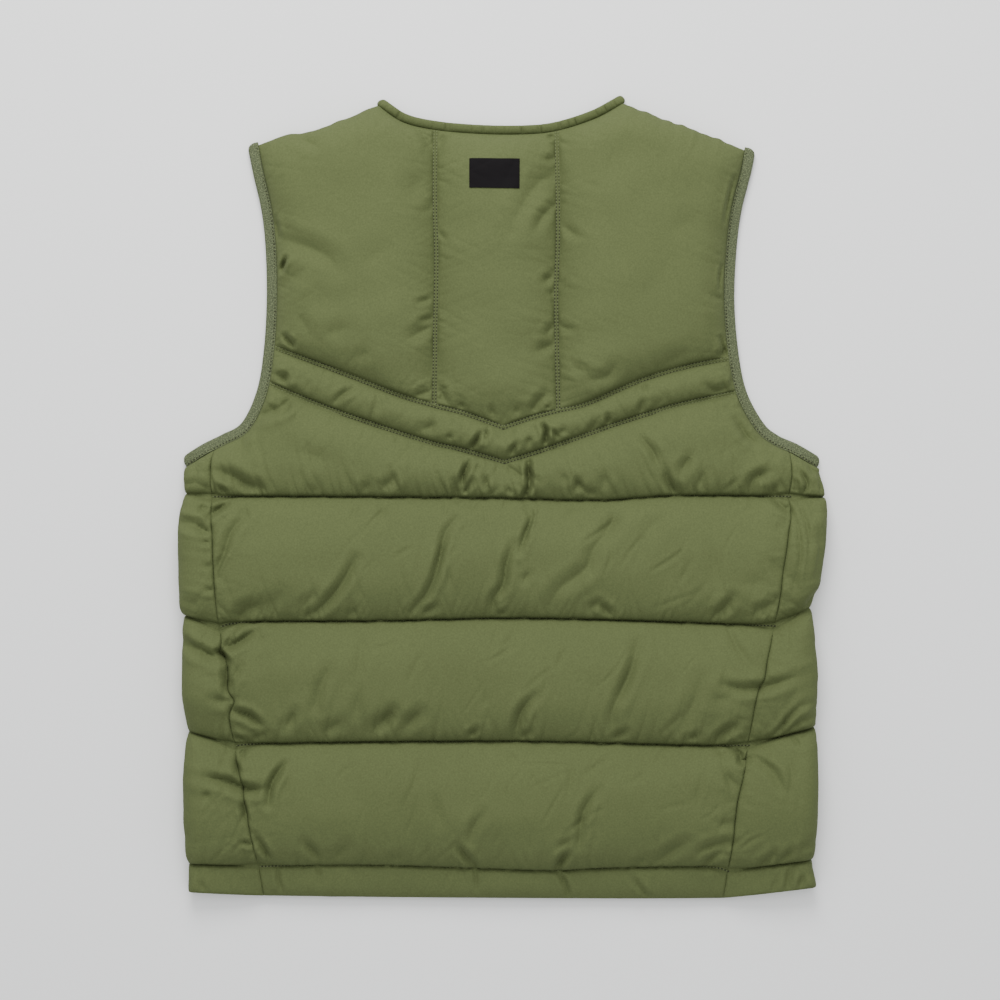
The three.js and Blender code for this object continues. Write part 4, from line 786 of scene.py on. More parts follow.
def padded_height(points, loft, edges):
    """Height of a padded face: inner height + wall + loft * product of rises + folds + puckers - notches.
    Beside a side seam the other seams lie flatter, in a wider pressed strip without a notch."""
    shape = points.shape[:-1]
    flat = points.reshape(-1, 2)
    near = [held.line.nearest(flat) for held in edges]
    pressed = np.zeros(len(flat))
    for held, (off, _) in zip(edges, near):
        if held.crossed:
            pressed = pressed + np.exp(-((off / SIDE_PRESS) ** 2))
    share, clear, smooth = (np.ones(len(flat)) for _ in range(3))
    small, notches = np.zeros(len(flat)), np.zeros(len(flat))
    for held, (off, way) in zip(edges, near):
        strip = held.flat if held.crossed or not held.notch else SIDE_STRIP * pressed
        free = np.maximum(off - strip, 0)
        share *= held.low + (1 - held.low) * rise(free / held.reach, held.power)
        small += held.pucker * PUCKER_TOP * pucker_height() * puckers(free, way, held.seed, held.pull)
        smooth *= 1 - np.exp(-free / PUCKER_CLEAR)
        notches += held.notch * np.exp(-((off / NOTCH_WIDTH) ** 2)) * (1 if held.crossed else 1 - pressed)
        if held.flat:
            notches -= TWIN_RIDGE * np.exp(-((off / TWIN_ROUND) ** 2))
        if not held.crossed:
            clear *= 1 - np.exp(-free / FOLD_CLEAR)
    height = loft * share + (folds(flat) + unevenness(flat)) * clear + small * smooth - notches
    return (rest_height(flat) + WALL + np.maximum(height, LOWEST)).reshape(shape)


def patch(top, bottom, left, right, us, vs):
    """Coons patch: the two ruled surfaces between opposite lines added, less the bilinear one."""
    u, v = us[None, :, None], vs[:, None, None]
    ruled = top.at(us)[None] * (1 - v) + bottom.at(us)[None] * v
    ruled = ruled + left.at(vs)[:, None] * (1 - u) + right.at(vs)[:, None] * u
    upper = top.at(0.0) * (1 - u) + top.at(1.0) * u
    lower = bottom.at(0.0) * (1 - u) + bottom.at(1.0) * u
    return ruled - upper * (1 - v) - lower * v


def drawn_in(grid, gap=SEAM_GAP):
    """The grid with its border rows and columns moved in by a gap."""
    for line, inner in ((0, 1), (-1, -2)):
        for axis in (0, 1):
            rows = np.swapaxes(grid, 0, axis)
            inward = rows[inner] - rows[line]
            rows[line] += gap * inward / np.maximum(np.linalg.norm(inward, axis=-1, keepdims=True), 1e-6)
    return grid


def lift(points, height):
    """Points on the table with a height added as the third coordinate."""
    return np.concatenate((points, np.broadcast_to(height, points.shape[:-1])[..., None]), axis=-1)


def quads(numbers):
    """The four corner numbers of each cell of a grid of point numbers."""
    corners = (numbers[:-1, :-1], numbers[:-1, 1:], numbers[1:, 1:], numbers[1:, :-1])
    return np.stack(corners, axis=-1).reshape(-1, 4)


def build(name, points, faces, material, place=None):
    """A mesh object from points in millimetres, turned so that its faces point out, and tied to the frame.
    Nothing goes below the table it lies on."""
    points = np.column_stack((points[:, :2], np.maximum(points[:, 2], 0.0)))
    triangles = np.vstack([
        np.stack((part[:, 0], part[:, i], part[:, i + 1]), axis=1)
        for part in faces for i in range(1, part.shape[1] - 1)
    ])
    a, b, c = (points[triangles[:, i]] for i in range(3))
    if np.einsum("ij,ij->i", a, np.cross(b, c)).sum() < 0:
        faces = [part[:, ::-1] for part in faces]
    mesh = bpy.data.meshes.new(name)
    mesh.from_pydata((points * METRE).tolist(), [], [face for part in faces for face in part.tolist()])
    if place is not None:
        layer = mesh.attributes.new("cloth_place", "FLOAT_VECTOR", "POINT")
        layer.data.foreach_set("vector", np.ascontiguousarray(place, dtype=np.float32).ravel())
    mesh.polygons.foreach_set("use_smooth", np.ones(len(mesh.polygons), dtype=bool))
    mesh.set_sharp_from_angle(angle=SHARP_ANGLE)
    mesh.materials.append(material)
    piece = bpy.data.objects.new(name, mesh)
    bpy.context.scene.collection.objects.link(piece)
    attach(piece, "root")
    return piece


def block(name, face, other, material, step=FINE_STEP):
    """A closed wall. The fine face keeps its border on the other side, at the height other(points), and
    within that border the other side has only every step-th point."""
    rows, columns = face.shape[:2]
    fine = np.arange(rows * columns).reshape(rows, columns)
    plain = face[::step, ::step, :2]
    coarse = rows * columns + np.arange(plain.shape[0] * plain.shape[1]).reshape(plain.shape[:2])
    points = np.vstack((face.reshape(-1, 3), lift(plain, other(plain)).reshape(-1, 3)))
    faces = [quads(fine), quads(coarse)[:, ::-1]]
    sides = (
        (fine[0], coarse[0]), (fine[:, -1], coarse[:, -1]),
        (fine[-1, ::-1], coarse[-1, ::-1]), (fine[::-1, 0], coarse[::-1, 0]),
    )
    for upper, lower in sides:
        spans = len(lower) - 1
        near = np.stack([upper[i : i + spans * step : step] for i in range(step + 1)], axis=1)
        first, second = lower[:-1], lower[1:]
        foot = np.where(np.arange(step)[None] < step // 2, first[:, None], second[:, None])
        fans = np.stack((near[:, 1:], near[:, :-1], foot), axis=-1).reshape(-1, 3)
        middle = np.stack((near[:, step // 2], first, second), axis=-1)
        faces += [fans, middle]
    return build(name, points, faces, material)


def tube(name, sections, ring, material, place=None):
    """A tube of closed sections, joined into a ring or capped by its first and last section."""
    count, size = sections.shape[:2]
    numbers = np.arange(count * size).reshape(count, size)
    wrapped = np.hstack((numbers, numbers[:, :1]))
    if ring:
        faces = [quads(np.vstack((wrapped, wrapped[:1])))]
    else:
        faces = [quads(wrapped), numbers[:1], numbers[-1:, ::-1]]
    flat_place = None if place is None else place.reshape(-1, 3)
    return build(name, sections.reshape(-1, 3), faces, material, flat_place)


# Back yoke, chevron and body

SEAM_REACH = 42.0        # how far in the loft is full, from a seam of the yoke and from the armhole
ARM_REACH = 26.0
CHEVRON_REACH = 15.0
YOKE_SEAM_POWER = 0.85   # the padding rises flatter from the upright yoke seams
NECK_PUCKER = 0.35
TWIN_PUCKER = 0.6
TAPE_PUCKER = 0.8
LOWER_PUCKERS = (1.5, 1.0, 0.8, 0.6, 0.4)    # along the foot of each channel
UPPER_PUCKERS = 0.5      # along a channel's top, as a share of its foot's
HEM_PUCKER = 0.3
YOKE_GRID = (144, 198)
CENTRE_GRID = (102, 234)
CHEVRON_GRID = (396, 36)
BODY_COLUMNS = 540


def twin(line, reach, seed, power=RISE_POWER):
    return Edge(line, reach, flat=TWIN_FLAT, pucker=TWIN_PUCKER, seed=seed, power=power)


def yoke_side_edges(half):
    seed = 20 + half.sign
    return [
        Edge(half.shoulder, ARM_REACH, low=0.1, pucker=0.4, seed=seed),
        Edge(half.neck, ARM_REACH, pucker=NECK_PUCKER, seed=seed + 3),
        twin(half.yoke_seam, SEAM_REACH, seed + 6, YOKE_SEAM_POWER),
        twin(half.upper_v.stretch(0, half.foot_share), SEAM_REACH, seed + 9),
        Edge(half.tape.stretch(0, half.tape_shares[0]), ARM_REACH, pucker=0.5, seed=seed + 12),
    ]


def centre_edges():
    feet = [half.upper_v.stretch(half.foot_share, 1) for half in HALVES]
    return [
        Edge(NECK.stretch(LEFT.neck_share, RIGHT.neck_share), ARM_REACH, pucker=NECK_PUCKER, seed=41),
        *(twin(half.yoke_seam, SEAM_REACH, 44 + half.sign, YOKE_SEAM_POWER) for half in HALVES),
        *(twin(foot, SEAM_REACH, 47 + index) for index, foot in enumerate(feet)),
    ]


def back_panel(name, grid, height, node):
    grid = drawn_in(grid)
    face = lift(grid, height(grid))
    piece = block(name, face, back_inner, MATERIALS["shell"])
    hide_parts(node)


def yoke_side(half, name, node):
    foot = half.upper_v.stretch(0, half.foot_share)
    arm_side = half.tape.stretch(0, half.tape_shares[0])
    top = InTurn(half.shoulder, half.neck, 1 - NECK_SHARE)
    grid = patch(top, foot, arm_side, half.yoke_seam, *(spread(steps) for steps in YOKE_GRID))
    loft, edges = form().yoke_loft / METRE, yoke_side_edges(half)
    back_panel(name, grid, lambda points: padded_height(points, loft, edges), node)


def yoke_centre():
    feet = [half.upper_v.stretch(half.foot_share, 1) for half in HALVES]
    foot = InTurn(feet[0], feet[1].reversed(), 0.5)
    top = NECK.stretch(LEFT.neck_share, RIGHT.neck_share)
    grid = patch(top, foot, LEFT.yoke_seam, RIGHT.yoke_seam, *(spread(steps) for steps in CENTRE_GRID))
    back_panel("yoke_centre_quilted", grid, centre_height, "back_yoke_centre")


def centre_height(points):
    return padded_height(points, form().centre_loft / METRE, centre_edges())


def v_line(name):
    return InTurn(getattr(LEFT, name), getattr(RIGHT, name).reversed(), 0.5)


def chevron():
    arms = [half.tape.stretch(half.tape_shares[0], half.tape_shares[1]) for half in HALVES]
    columns, rows = CHEVRON_GRID
    grid = patch(v_line("upper_v"), v_line("lower_v"), *arms, spread(columns, 0.2), spread(rows))
    edges = [
        *(twin(half.upper_v, CHEVRON_REACH, 61 + half.sign) for half in HALVES),
        *(twin(half.lower_v, CHEVRON_REACH, 65 + half.sign) for half in HALVES),
        *(tape_edge(half, 69, low=0.2) for half in HALVES),
    ]
    loft = form().chevron_loft / METRE
    back_panel("chevron_quilted", grid, lambda points: padded_height(points, loft, edges), "back_chevron")


def tape_edge(half, seed, low=0.0):
    return Edge(half.tape, ARM_REACH, low, pucker=TAPE_PUCKER, seed=seed + half.sign)


def side_edge(half, seed):
    return Edge(half.side_seam, ARM_REACH, SIDE_SEAM_LOFT, pucker=0.5, seed=seed + half.sign,
                notch=SIDE_NOTCH, crossed=True)


def quilt_edge(line, reach, pucker, seed, pull=PUCKER_PULL):
    return Edge(line, reach, pucker=pucker, seed=seed, notch=QUILT_NOTCH, pull=pull)


def channel_edges(index):
    """The lines that hold a channel's padding down on the back."""
    sides = [side_edge(half, 80) for half in HALVES]
    reach, pucker = CHANNELS[index].reach, LOWER_PUCKERS[index]
    if index == 0:
        around = [twin(half.lower_v, reach, 83 + half.sign) for half in HALVES]
        tapes = [tape_edge(half, 86) for half in HALVES]
        return [*around, quilt_edge(WAVY_QUILTS[0], reach, pucker, 89), *tapes, *sides]
    upper = quilt_edge(WAVY_QUILTS[index - 1], reach, UPPER_PUCKERS * pucker, 90 + index)
    if index == HEM:
        return [upper, Edge(QUILTS[HEM], reach, pucker=HEM_PUCKER, seed=96), *sides]
    return [upper, quilt_edge(WAVY_QUILTS[index], reach, pucker, 97 + index), *sides]


def channel_loft(index):
    return CHANNELS[index].loft * form().channel_fill


def back_body():
    """The one panel below the chevron, as two meshes that meet in the second quilting line."""
    us = spread(BODY_COLUMNS, 0.15)
    rows = []
    for index, channel in enumerate(CHANNELS):
        sides = [half.side_parts[index] for half in HALVES]
        bottom = fit_ends(QUILTS[index], sides[0].at(1), sides[1].at(1))
        if index == 0:
            arms = [half.tape.stretch(half.tape_shares[1], half.tape_shares[2]) for half in HALVES]
            sides = [InTurn(arm, side, ARM_SHARE) for arm, side in zip(arms, sides)]
            top = v_line("lower_v")
        else:
            top = fit_ends(QUILTS[index - 1], sides[0].at(0), sides[1].at(0))
        grid = patch(top, bottom, *sides, us, spread(channel.rows))
        height = padded_height(grid, channel_loft(index), channel_edges(index))
        rows.append(lift(grid, height)[1 if index else 0 :])
    face = np.concatenate(rows)
    face[..., :2] = drawn_in(face[..., :2].copy())
    middle = CHANNELS[0].rows + CHANNELS[1].rows
    for name, part in (("body_upper_quilted", face[: middle + 1]), ("body_lower_quilted", face[middle:])):
        piece = block(name, part, back_inner, MATERIALS["shell"])
        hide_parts("back_body")


# Fronts

FLAP_PULL = 2.6          # puckers reach this many of their own widths over the side
FLAP_PUCKERS = (0.6, 0.7)        # along the top and the foot of a channel
FLAP_ARM_PUCKER = 0.8
CHANNEL_RUN = 100        # rough height of a channel, and of the hem, on the underside
HEM_RUN = 25
HEM_OFF = 8              # the hem's upper line is never nearer than this
RELIEF_FADE = 40         # the lifted seams of the underside end this far before the fold at the side
INNER_SHARE = 0.8        # the inside starts this share of its height in from the fold
INNER_START = 0.7
YOKE_LIFT = 0.8          # the front yoke's edges lift less off the table
WALL_COLUMNS = 4
FRONT_YOKE_GRID = (48, 72)
PLACKET_GRID = (12, 144)


def flap_edges(half, index):
    """The lines that hold the padding down on the part of the front that lies on top."""
    lines = []
    for row in (index, index + 1):
        start = half.side_parts[min(row, HEM)].at(1 if row > HEM else 0)
        lines.append(Line([start, half.fold_point(row)]))
    side = side_edge(half, 110)
    reach = CHANNELS[index].reach
    if index == 0:
        lower = quilt_edge(lines[1], reach, FLAP_ARM_PUCKER, 116 + half.sign, FLAP_PULL)
        return [tape_edge(half, 113), lower, side]
    seeds = 3 * index + half.sign
    upper = quilt_edge(lines[0], reach, FLAP_PUCKERS[0], 120 + seeds, FLAP_PULL)
    if index == HEM:
        return [upper, Edge(lines[1], reach, pucker=HEM_PUCKER, seed=137 + half.sign), side]
    return [upper, quilt_edge(lines[1], reach, FLAP_PUCKERS[1], 140 + seeds, FLAP_PULL), side]


UNDER_COLUMNS = 16
FOLD_COLUMNS = 30
TOP_COLUMNS = 44
LINING_SHARES = np.array((0, 0.08, 0.2, 0.45, 1))


def front_sections(half, index, vs):
    """Closed sections of a front, one for each v: along the table, round the fold at the side in a half
    ellipse, up to the side seam on top, and back along the inside."""
    channel = CHANNELS[index]
    upper, lower = FOLD_ROWS[index], FOLD_ROWS[index + 1]
    edges = flap_edges(half, index)
    v = vs[:, None]
    swell = rise(2 * np.minimum(v, 1 - v))
    fold = mix(half.fold_point(index), half.fold_point(index + 1), v)
    fold_y, plain = fold[:, 1:], np.abs(fold[:, :1])
    reach_out = plain + channel.bulge * swell
    radius = mix(upper.radius, lower.radius, v) + channel.swell * swell
    centre_y = mix(upper.centre_y, lower.centre_y, v)
    seam = half.side_parts[index].at(vs)
    seam_x, seam_y = np.abs(seam[:, :1]) + SEAM_GAP, seam[:, 1:]
    start_x = PLACKET_HALF + GAP
    turn_x = reach_out - radius
    span = mix(reach_out - seam_x, CENTRE_SPAN, v) if index == 0 else CENTRE_SPAN
    edge_gap = (1 - v) * GAP if index == 0 else 0

    def top_place(x):
        y = mix(fold_y, seam_y, (reach_out - x) / (reach_out - seam_x)) - edge_gap
        return np.stack((half.sign * x, y), axis=-1)

    def under_place(x):
        y = mix(fold_y, centre_y, np.minimum(1, (reach_out - x) / span)) - edge_gap
        return np.stack((half.sign * x, y), axis=-1)

    run, least = (HEM_RUN, HEM_OFF) if index == HEM else (CHANNEL_RUN, 0)
    off = run * np.minimum(v, 1 - v) + least
    under_x = mix(start_x, turn_x, np.linspace(0, 1, UNDER_COLUMNS)[None])
    relief = UNDER_LIFT * np.exp(-off / UNDER_FADE) * np.clip((turn_x - under_x) / RELIEF_FADE, 0, 1)
    under = lift(under_place(under_x), relief)

    angle = np.radians(np.linspace(-90, 90, FOLD_COLUMNS + 1))[None, 1:]
    crown = padded_height(top_place(turn_x), channel_loft(index), edges)
    fold_x = turn_x + radius * np.cos(angle)
    place = np.where((angle > 0)[..., None], top_place(fold_x), under_place(fold_x))
    flat = place.reshape(-1, 2)
    small = folds(flat) + unevenness(flat)
    for held in edges[:2]:
        free, way = held.line.nearest(flat)
        small += held.pucker * pucker_height() * puckers(free, way, held.seed, held.pull)
    for held in edges[:2]:
        small = small * (1 - np.exp(-held.line.nearest(flat)[0] / FOLD_CLEAR))
    small = small.reshape(fold_x.shape) * np.clip(0.5 + np.sin(angle), 0, 1) * np.cos(angle)
    round_fold = lift(place, crown / 2 * (1 + np.sin(angle)) + small * np.sin(angle))
    round_fold[..., 0] += half.sign * small * np.cos(angle)

    top_x = mix(turn_x, seam_x, spread(TOP_COLUMNS, 0.3)[None, 1:])
    top = top_place(top_x)
    top = lift(top, padded_height(top, channel_loft(index), edges))

    at_fold = rest_height(np.stack((half.sign * plain, fold_y), axis=-1))
    inner_x = plain - INNER_SHARE * (at_fold - INNER_START)
    wall = top_place(mix(seam_x, inner_x, np.linspace(0, 1, WALL_COLUMNS)[None]))
    wall = lift(wall, back_inner(wall))
    lining = under_place(mix(inner_x, start_x, LINING_SHARES[None]))
    lining = lift(lining, front_inner(lining))
    return np.concatenate((under, round_fold, top, wall, lining), axis=1)


def front_body(half, name, node):
    parts = [
        front_sections(half, index, spread(channel.rows)[1 if index else 0 :])
        for index, channel in enumerate(CHANNELS)
    ]
    piece = tube(name, np.concatenate(parts), False, MATERIALS["shell"])
    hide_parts(node)


def front_yoke(half, name, node):
    tape = half.front_tape()
    arm_side = tape.stretch(0, tape.share_at(1, CHEST_SEAM))
    neck = half.front_neck()
    foot_end = np.array((half.sign * (PLACKET_HALF + GAP), CHEST_SEAM + GAP))
    inner_side = InTurn(neck, Line([neck.at(1.0), foot_end]), 0.5)
    shoulder = fit_ends(half.shoulder, arm_side.at(0.0), neck.at(0.0))
    foot = Line([arm_side.at(1.0), foot_end])
    us, vs = (spread(steps) for steps in FRONT_YOKE_GRID)
    grid = drawn_in(patch(shoulder, foot, arm_side, inner_side, us, vs), GAP / 2)
    flat = grid.reshape(-1, 2)
    off = np.minimum(foot.nearest(flat)[0], arm_side.nearest(flat)[0]).reshape(grid.shape[:2])
    face = lift(grid, UNDER_LIFT * np.exp(-off / UNDER_FADE) * YOKE_LIFT)
    piece = block(name, face, front_inner, MATERIALS["shell"])
    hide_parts(node)


def placket():
    """Strip over the front opening, a flat wall. With s from 0 in the middle to 1 at the long edges it lies
    0.9 s^6 + 0.25 s^2 (1 + sin(y / 7.5)) higher there, rounded and slightly waved."""
    columns, rows = PLACKET_GRID
    x = mix(-PLACKET_HALF, PLACKET_HALF, spread(columns, 0.6))[None]
    y = mix(NECK_DEPTH, QUILT_LINES[HEM][2][1] + 2 * GAP, np.linspace(0, 1, rows + 1))[:, None]
    grid = np.stack(np.broadcast_arrays(x, y), axis=-1)
    aside = np.abs(x) / PLACKET_HALF
    rounding = 0.9 * aside**6
    wave = 0.25 * (1 + np.sin(y / 7.5)) * aside**2
    face = lift(grid, PLACKET_CLEAR + rounding + wave)
    piece = block("placket_strip", face, front_inner, MATERIALS["shell"], columns)
    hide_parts("front_placket")


# Neck band and armhole tape

BAND_SECTION = np.array([
    (0.0, 0.1), (-0.02, 0.4), (0.02, 0.68), (0.12, 0.88), (0.28, 1.0), (0.46, 1.06), (0.64, 1.04),
    (0.8, 0.92), (0.92, 0.72), (1.0, 0.45), (1.0, 0.0), (0.6, 0.0), (0.25, 0.0),
])
TAPE_SECTION = np.array([
    (0.0, 0.1), (-0.02, 0.45), (0.02, 0.78), (0.1, 0.96), (0.2, 1.0), (0.4, 1.0), (0.6, 1.0), (0.72, 1.0),
    (0.82, 0.94), (0.9, 0.97), (0.96, 1.0), (1.0, 0.9), (1.0, 0.0), (0.6, 0.0), (0.25, 0.0),
])
TURN_DEGREES = np.arange(80, -81, -10)
END_ROUND = 9.0          # the outer corners of a strip are rounded over this length
END_SHARE = 0.05         # a strip sinks to the height of its turned ends over this share of its length
SLOW_STEP = 0.008        # share of the length over which a strip's direction is taken
DIP_COUNT = 34           # small pinches along a strip
DIP_WIDTH = 0.9
DIP_SHARES = (0.1, 1)
SLOW_SWELL = 0.03
TAPE_STEP = 1.6          # between the sections of the tape and of the band
BAND_STEP = 0.8
BAND_END_STEPS = 90
TAPE_CREASES = 0.17      # how deep the pinches are, in strip heights
BAND_CREASES = 0.55


class Strip:
    """A narrow strip along the outside of a seam line: across 1 lies at the seam and 0 at the free edge. Its
    outer corners lie back from its two ends by the two lengths in backs."""

    def __init__(self, line, hand, width, section, seed, backs=(3.6, 3.6), creases=TAPE_CREASES):
        self.line, self.hand, self.width, self.section, self.seed = line, hand, width, section, seed
        self.backs, self.creases = backs, creases

    def places(self, shares):
        along = self.line.tangent(shares, SLOW_STEP)
        outward = np.stack((-along[:, 1], along[:, 0]), axis=1)[:, None] * self.hand
        offs = SEAM_GAP + (1 - self.section[None, :, 0]) * (self.width - SEAM_GAP)
        way = np.minimum(shares, 1 - shares)[:, None] * self.line.length
        most = np.where(shares < 0.5, *self.backs)[:, None]
        back = most * (offs / self.width) ** 3 * np.clip(1 - way / END_ROUND, 0, 1) ** 2
        inward = along[:, None] * np.where(shares < 0.5, 1, -1)[:, None, None]
        return self.line.at(shares)[:, None] + outward * offs[..., None] + inward * back[..., None]

    def wobble(self, shares):
        """How full the strip is along its length: 1 with small pinches at drawn places."""
        way = shares * self.line.length
        dips = np.random.default_rng(self.seed).uniform(0, self.line.length, DIP_COUNT)
        strong = np.random.default_rng(self.seed + 1).uniform(*DIP_SHARES, DIP_COUNT)
        depth = (strong * np.exp(-np.abs(way[:, None] - dips[None]) / DIP_WIDTH)).sum(axis=1)
        slow = np.sin(way / 9.1 + self.seed) + np.sin(way / 15.7)
        return (1 + SLOW_SWELL * slow - self.creases * np.clip(depth, 0, 1))[:, None]

    def run(self, shares, upper):
        """Sections on the upper layer, which follows the inside of the vest, or on the lower one."""
        points = self.places(shares)
        off = GAP / 2 + self.section[None, :, 1] * BINDING_WALL * self.wobble(shares)
        if not upper:
            return lift(points, EDGE_REST - off)
        free = np.minimum(1, np.minimum(shares, 1 - shares) / END_SHARE)[:, None]
        return lift(points, mix(EDGE_REST, rest_height(points), free) + off)

    def turn(self, share):
        """Sections that turn over the end of the line, from the upper layer to the lower one."""
        shares = np.full(len(TURN_DEGREES), float(share))
        outward = self.line.tangent(shares, SLOW_STEP)[:, None] * (1 if share > 0.5 else -1)
        angle = np.radians(TURN_DEGREES)[:, None]
        off = GAP / 2 + self.section[None, :, 1] * BINDING_WALL * self.wobble(shares)
        points = self.places(shares) + outward * (off * np.cos(angle))[..., None]
        return lift(points, EDGE_REST + off * np.sin(angle))


def cloth_places(sections, section):
    """For each point of a strip, how far across and along it lies, in millimetres."""
    middle = sections.mean(axis=1)
    steps = np.linalg.norm(np.diff(middle, axis=0), axis=1)
    along = np.concatenate(([0.0], np.cumsum(steps)))[:, None]
    across = section[None, :, 0] * BINDING_WIDTH + section[None, :, 1] * 0.5
    return np.stack(np.broadcast_arrays(across, along, 0 * along), axis=-1)


def armhole_tape(half, name, node):
    upper = Strip(half.tape, half.sign, BINDING_WIDTH, TAPE_SECTION, 7)
    front = half.front_tape()
    lower = Strip(front, half.sign, BINDING_WIDTH, TAPE_SECTION, 9)
    chest = front.share_at(1, CHEST_SEAM)
    steps = int(half.tape.length / TAPE_STEP)
    sections = np.concatenate((
        upper.run(np.linspace(0, 1, steps), True),
        upper.turn(1),
        lower.run(np.concatenate(([1.0], np.linspace(chest, 0, steps))), False),
        upper.turn(0)[::-1],
    ))
    place = cloth_places(sections, TAPE_SECTION)
    piece = tube(name, sections, True, MATERIALS["tape"], place)
    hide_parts(node)


def neck_band():
    left, right = (
        Strip(half.front_neck(), -half.sign, BAND_WIDTH, BAND_SECTION, 5, backs)
        for half, backs in zip(HALVES, ((3.0, 0.0), (0.8, 0.0)))
    )
    back = Strip(NECK, 1, BAND_WIDTH, BAND_SECTION, 3, (2.4, 0.8), BAND_CREASES)
    steps = int(NECK.length / BAND_STEP)
    ends = np.linspace(0, 1, BAND_END_STEPS)
    sections = np.concatenate((
        left.run(ends[::-1], False),
        back.turn(0)[::-1],
        back.run(np.linspace(0, 1, steps), True),
        back.turn(1),
        right.run(ends, False),
    ))
    piece = tube("neck_band_folded", sections, False, MATERIALS["shell"])
    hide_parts("neck_band")


PATCH_GRID = (60, 36)
PATCH_EDGE = 0.72        # thickness at the pressed edges, as a share of the patch's, and how wide they are
PATCH_PRESS = 1.4
PATCH_CLEAR = 0.15
PATCH_UNDER = 0.1


def woven_patch():
    """The bare woven patch: a thin block that follows the centre panel, with pressed edges."""
    a, b, c, d = (np.array(corner) for corner in LABEL_CORNERS)
    us, vs = (spread(steps, 0.3) for steps in PATCH_GRID)
    grid = patch(Line([a, b]), Line([c, d]), Line([a, c]), Line([b, d]), us, vs)
    under = centre_height(grid)
    off_x = np.minimum(grid[..., 0] - a[0], b[0] - grid[..., 0])
    off_y = np.minimum(a[1] - grid[..., 1], grid[..., 1] - d[1])
    edge_off = np.clip(np.minimum(off_x, off_y), 0, None)
    wall = LABEL_WALL * (PATCH_EDGE + (1 - PATCH_EDGE) * np.sqrt(np.clip(edge_off / PATCH_PRESS, 0, 1)))
    face = lift(grid, under + PATCH_CLEAR + wall)
    other = lambda points: centre_height(points) + PATCH_UNDER
    piece = block("woven_patch", face, other, MATERIALS["label"])
    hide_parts("back_label")


# Sewing

STITCH_RADIUS = 0.4
STITCH_SHARE = 0.62      # share of the pitch that a stitch covers, the rest being the needle's hole
STITCH_SIDES = 6
STITCH_FLAT = 0.7        # a stitch's height as a share of its width
STITCH_PLACES = np.array((-1.0, -0.62, 0.0, 0.62, 1.0))      # along half a stitch
STITCH_WIDTHS = np.array((0.35, 0.85, 1.0, 0.85, 0.35))      # in radii, at each of these places
STITCH_HEIGHTS = np.array((-0.3, 0.12, 0.24, 0.12, -0.3))
PIT_LONG = 0.8           # half the size of a painted shade disc at a needle hole, along the seam and across it
PIT_WIDE = 0.7
PIT_SIDES = 8
PIT_RINGS = ((1.0, 0.0), (0.6, 0.09))    # share of that size, and height above the seam
SEAM_CLEAR = 0.3         # the thread's height above the pressed cloth
TAPE_STITCHES = 0.17     # the row's place across the tape, and its height in the tape's own
TAPE_TOP = 0.95


def stitch_places(line, aside, pitch):
    """Middles and directions of stitches a pitch apart along a line, moved aside."""
    moved = line.aside(aside) if aside else line
    count = max(2, int(moved.length / pitch))
    shares = (np.arange(count) + 0.5) / count
    return moved.at(shares), moved.tangent(shares)


def small_tubes(count, rings, sides):
    """Numbers of the points of many small tubes, and the faces round each of them."""
    numbers = np.arange(count * rings * sides).reshape(count, rings, sides)
    wrapped = np.concatenate((numbers, numbers[..., :1]), axis=2)
    corners = (wrapped[:, :-1, :-1], wrapped[:, :-1, 1:], wrapped[:, 1:, 1:], wrapped[:, 1:, :-1])
    return numbers, np.stack(corners, axis=-1).reshape(-1, 4)


def sewn(name, rows):
    """Stitches as threads that dip at both ends, and a low dark button between each two, where the needle
    went down: a disc of painted shade that stands for the shade in the needle's hole. rows are (middles,
    directions, heights) for each seam."""
    middles, along, height = (np.concatenate(parts) for parts in zip(*rows))
    side = np.stack((-along[:, 1], along[:, 0]), axis=1)
    pitch = form().stitch_pitch / METRE
    count = len(middles)

    reach = STITCH_PLACES * pitch * STITCH_SHARE / 2
    turn = np.arange(STITCH_SIDES) * 2 * math.pi / STITCH_SIDES
    thick = STITCH_WIDTHS[:, None] * STITCH_RADIUS
    across = thick * np.cos(turn)[None]
    upward = thick * np.sin(turn)[None] * STITCH_FLAT + STITCH_HEIGHTS[:, None]
    plan = middles[:, None, None] + along[:, None, None] * reach[None, :, None, None]
    plan = plan + side[:, None, None] * across[None, :, :, None]
    threads = lift(plan, height[:, None, None] + upward[None])
    numbers, around = small_tubes(count, len(STITCH_PLACES), STITCH_SIDES)
    faces = [around, numbers[:, 0], numbers[:, -1, ::-1]]
    build(name + "_stitches", threads.reshape(-1, 3), faces, MATERIALS["thread"])

    # Dark discs of painted shade where the needle went down, standing for the shade in its hole
    middles = (middles + along * pitch / 2)[:, None]
    turn = np.arange(PIT_SIDES) * 2 * math.pi / PIT_SIDES
    rings = []
    for size, above in PIT_RINGS:
        plan = middles + along[:, None] * (PIT_LONG * size * np.cos(turn))[None, :, None]
        plan = plan + side[:, None] * (PIT_WIDE * size * np.sin(turn))[None, :, None]
        rings.append(lift(plan, height[:, None] + above))
    painted_shade_discs = np.stack(rings, axis=1)
    numbers, around = small_tubes(count, len(PIT_RINGS), PIT_SIDES)
    faces = [around, numbers[:, 1], numbers[:, 0, ::-1]]
    build(name + "_holes", painted_shade_discs.reshape(-1, 3), faces, MATERIALS["hole"])


def seam_heights(middles):
    return rest_height(middles) + WALL + SEAM_CLEAR


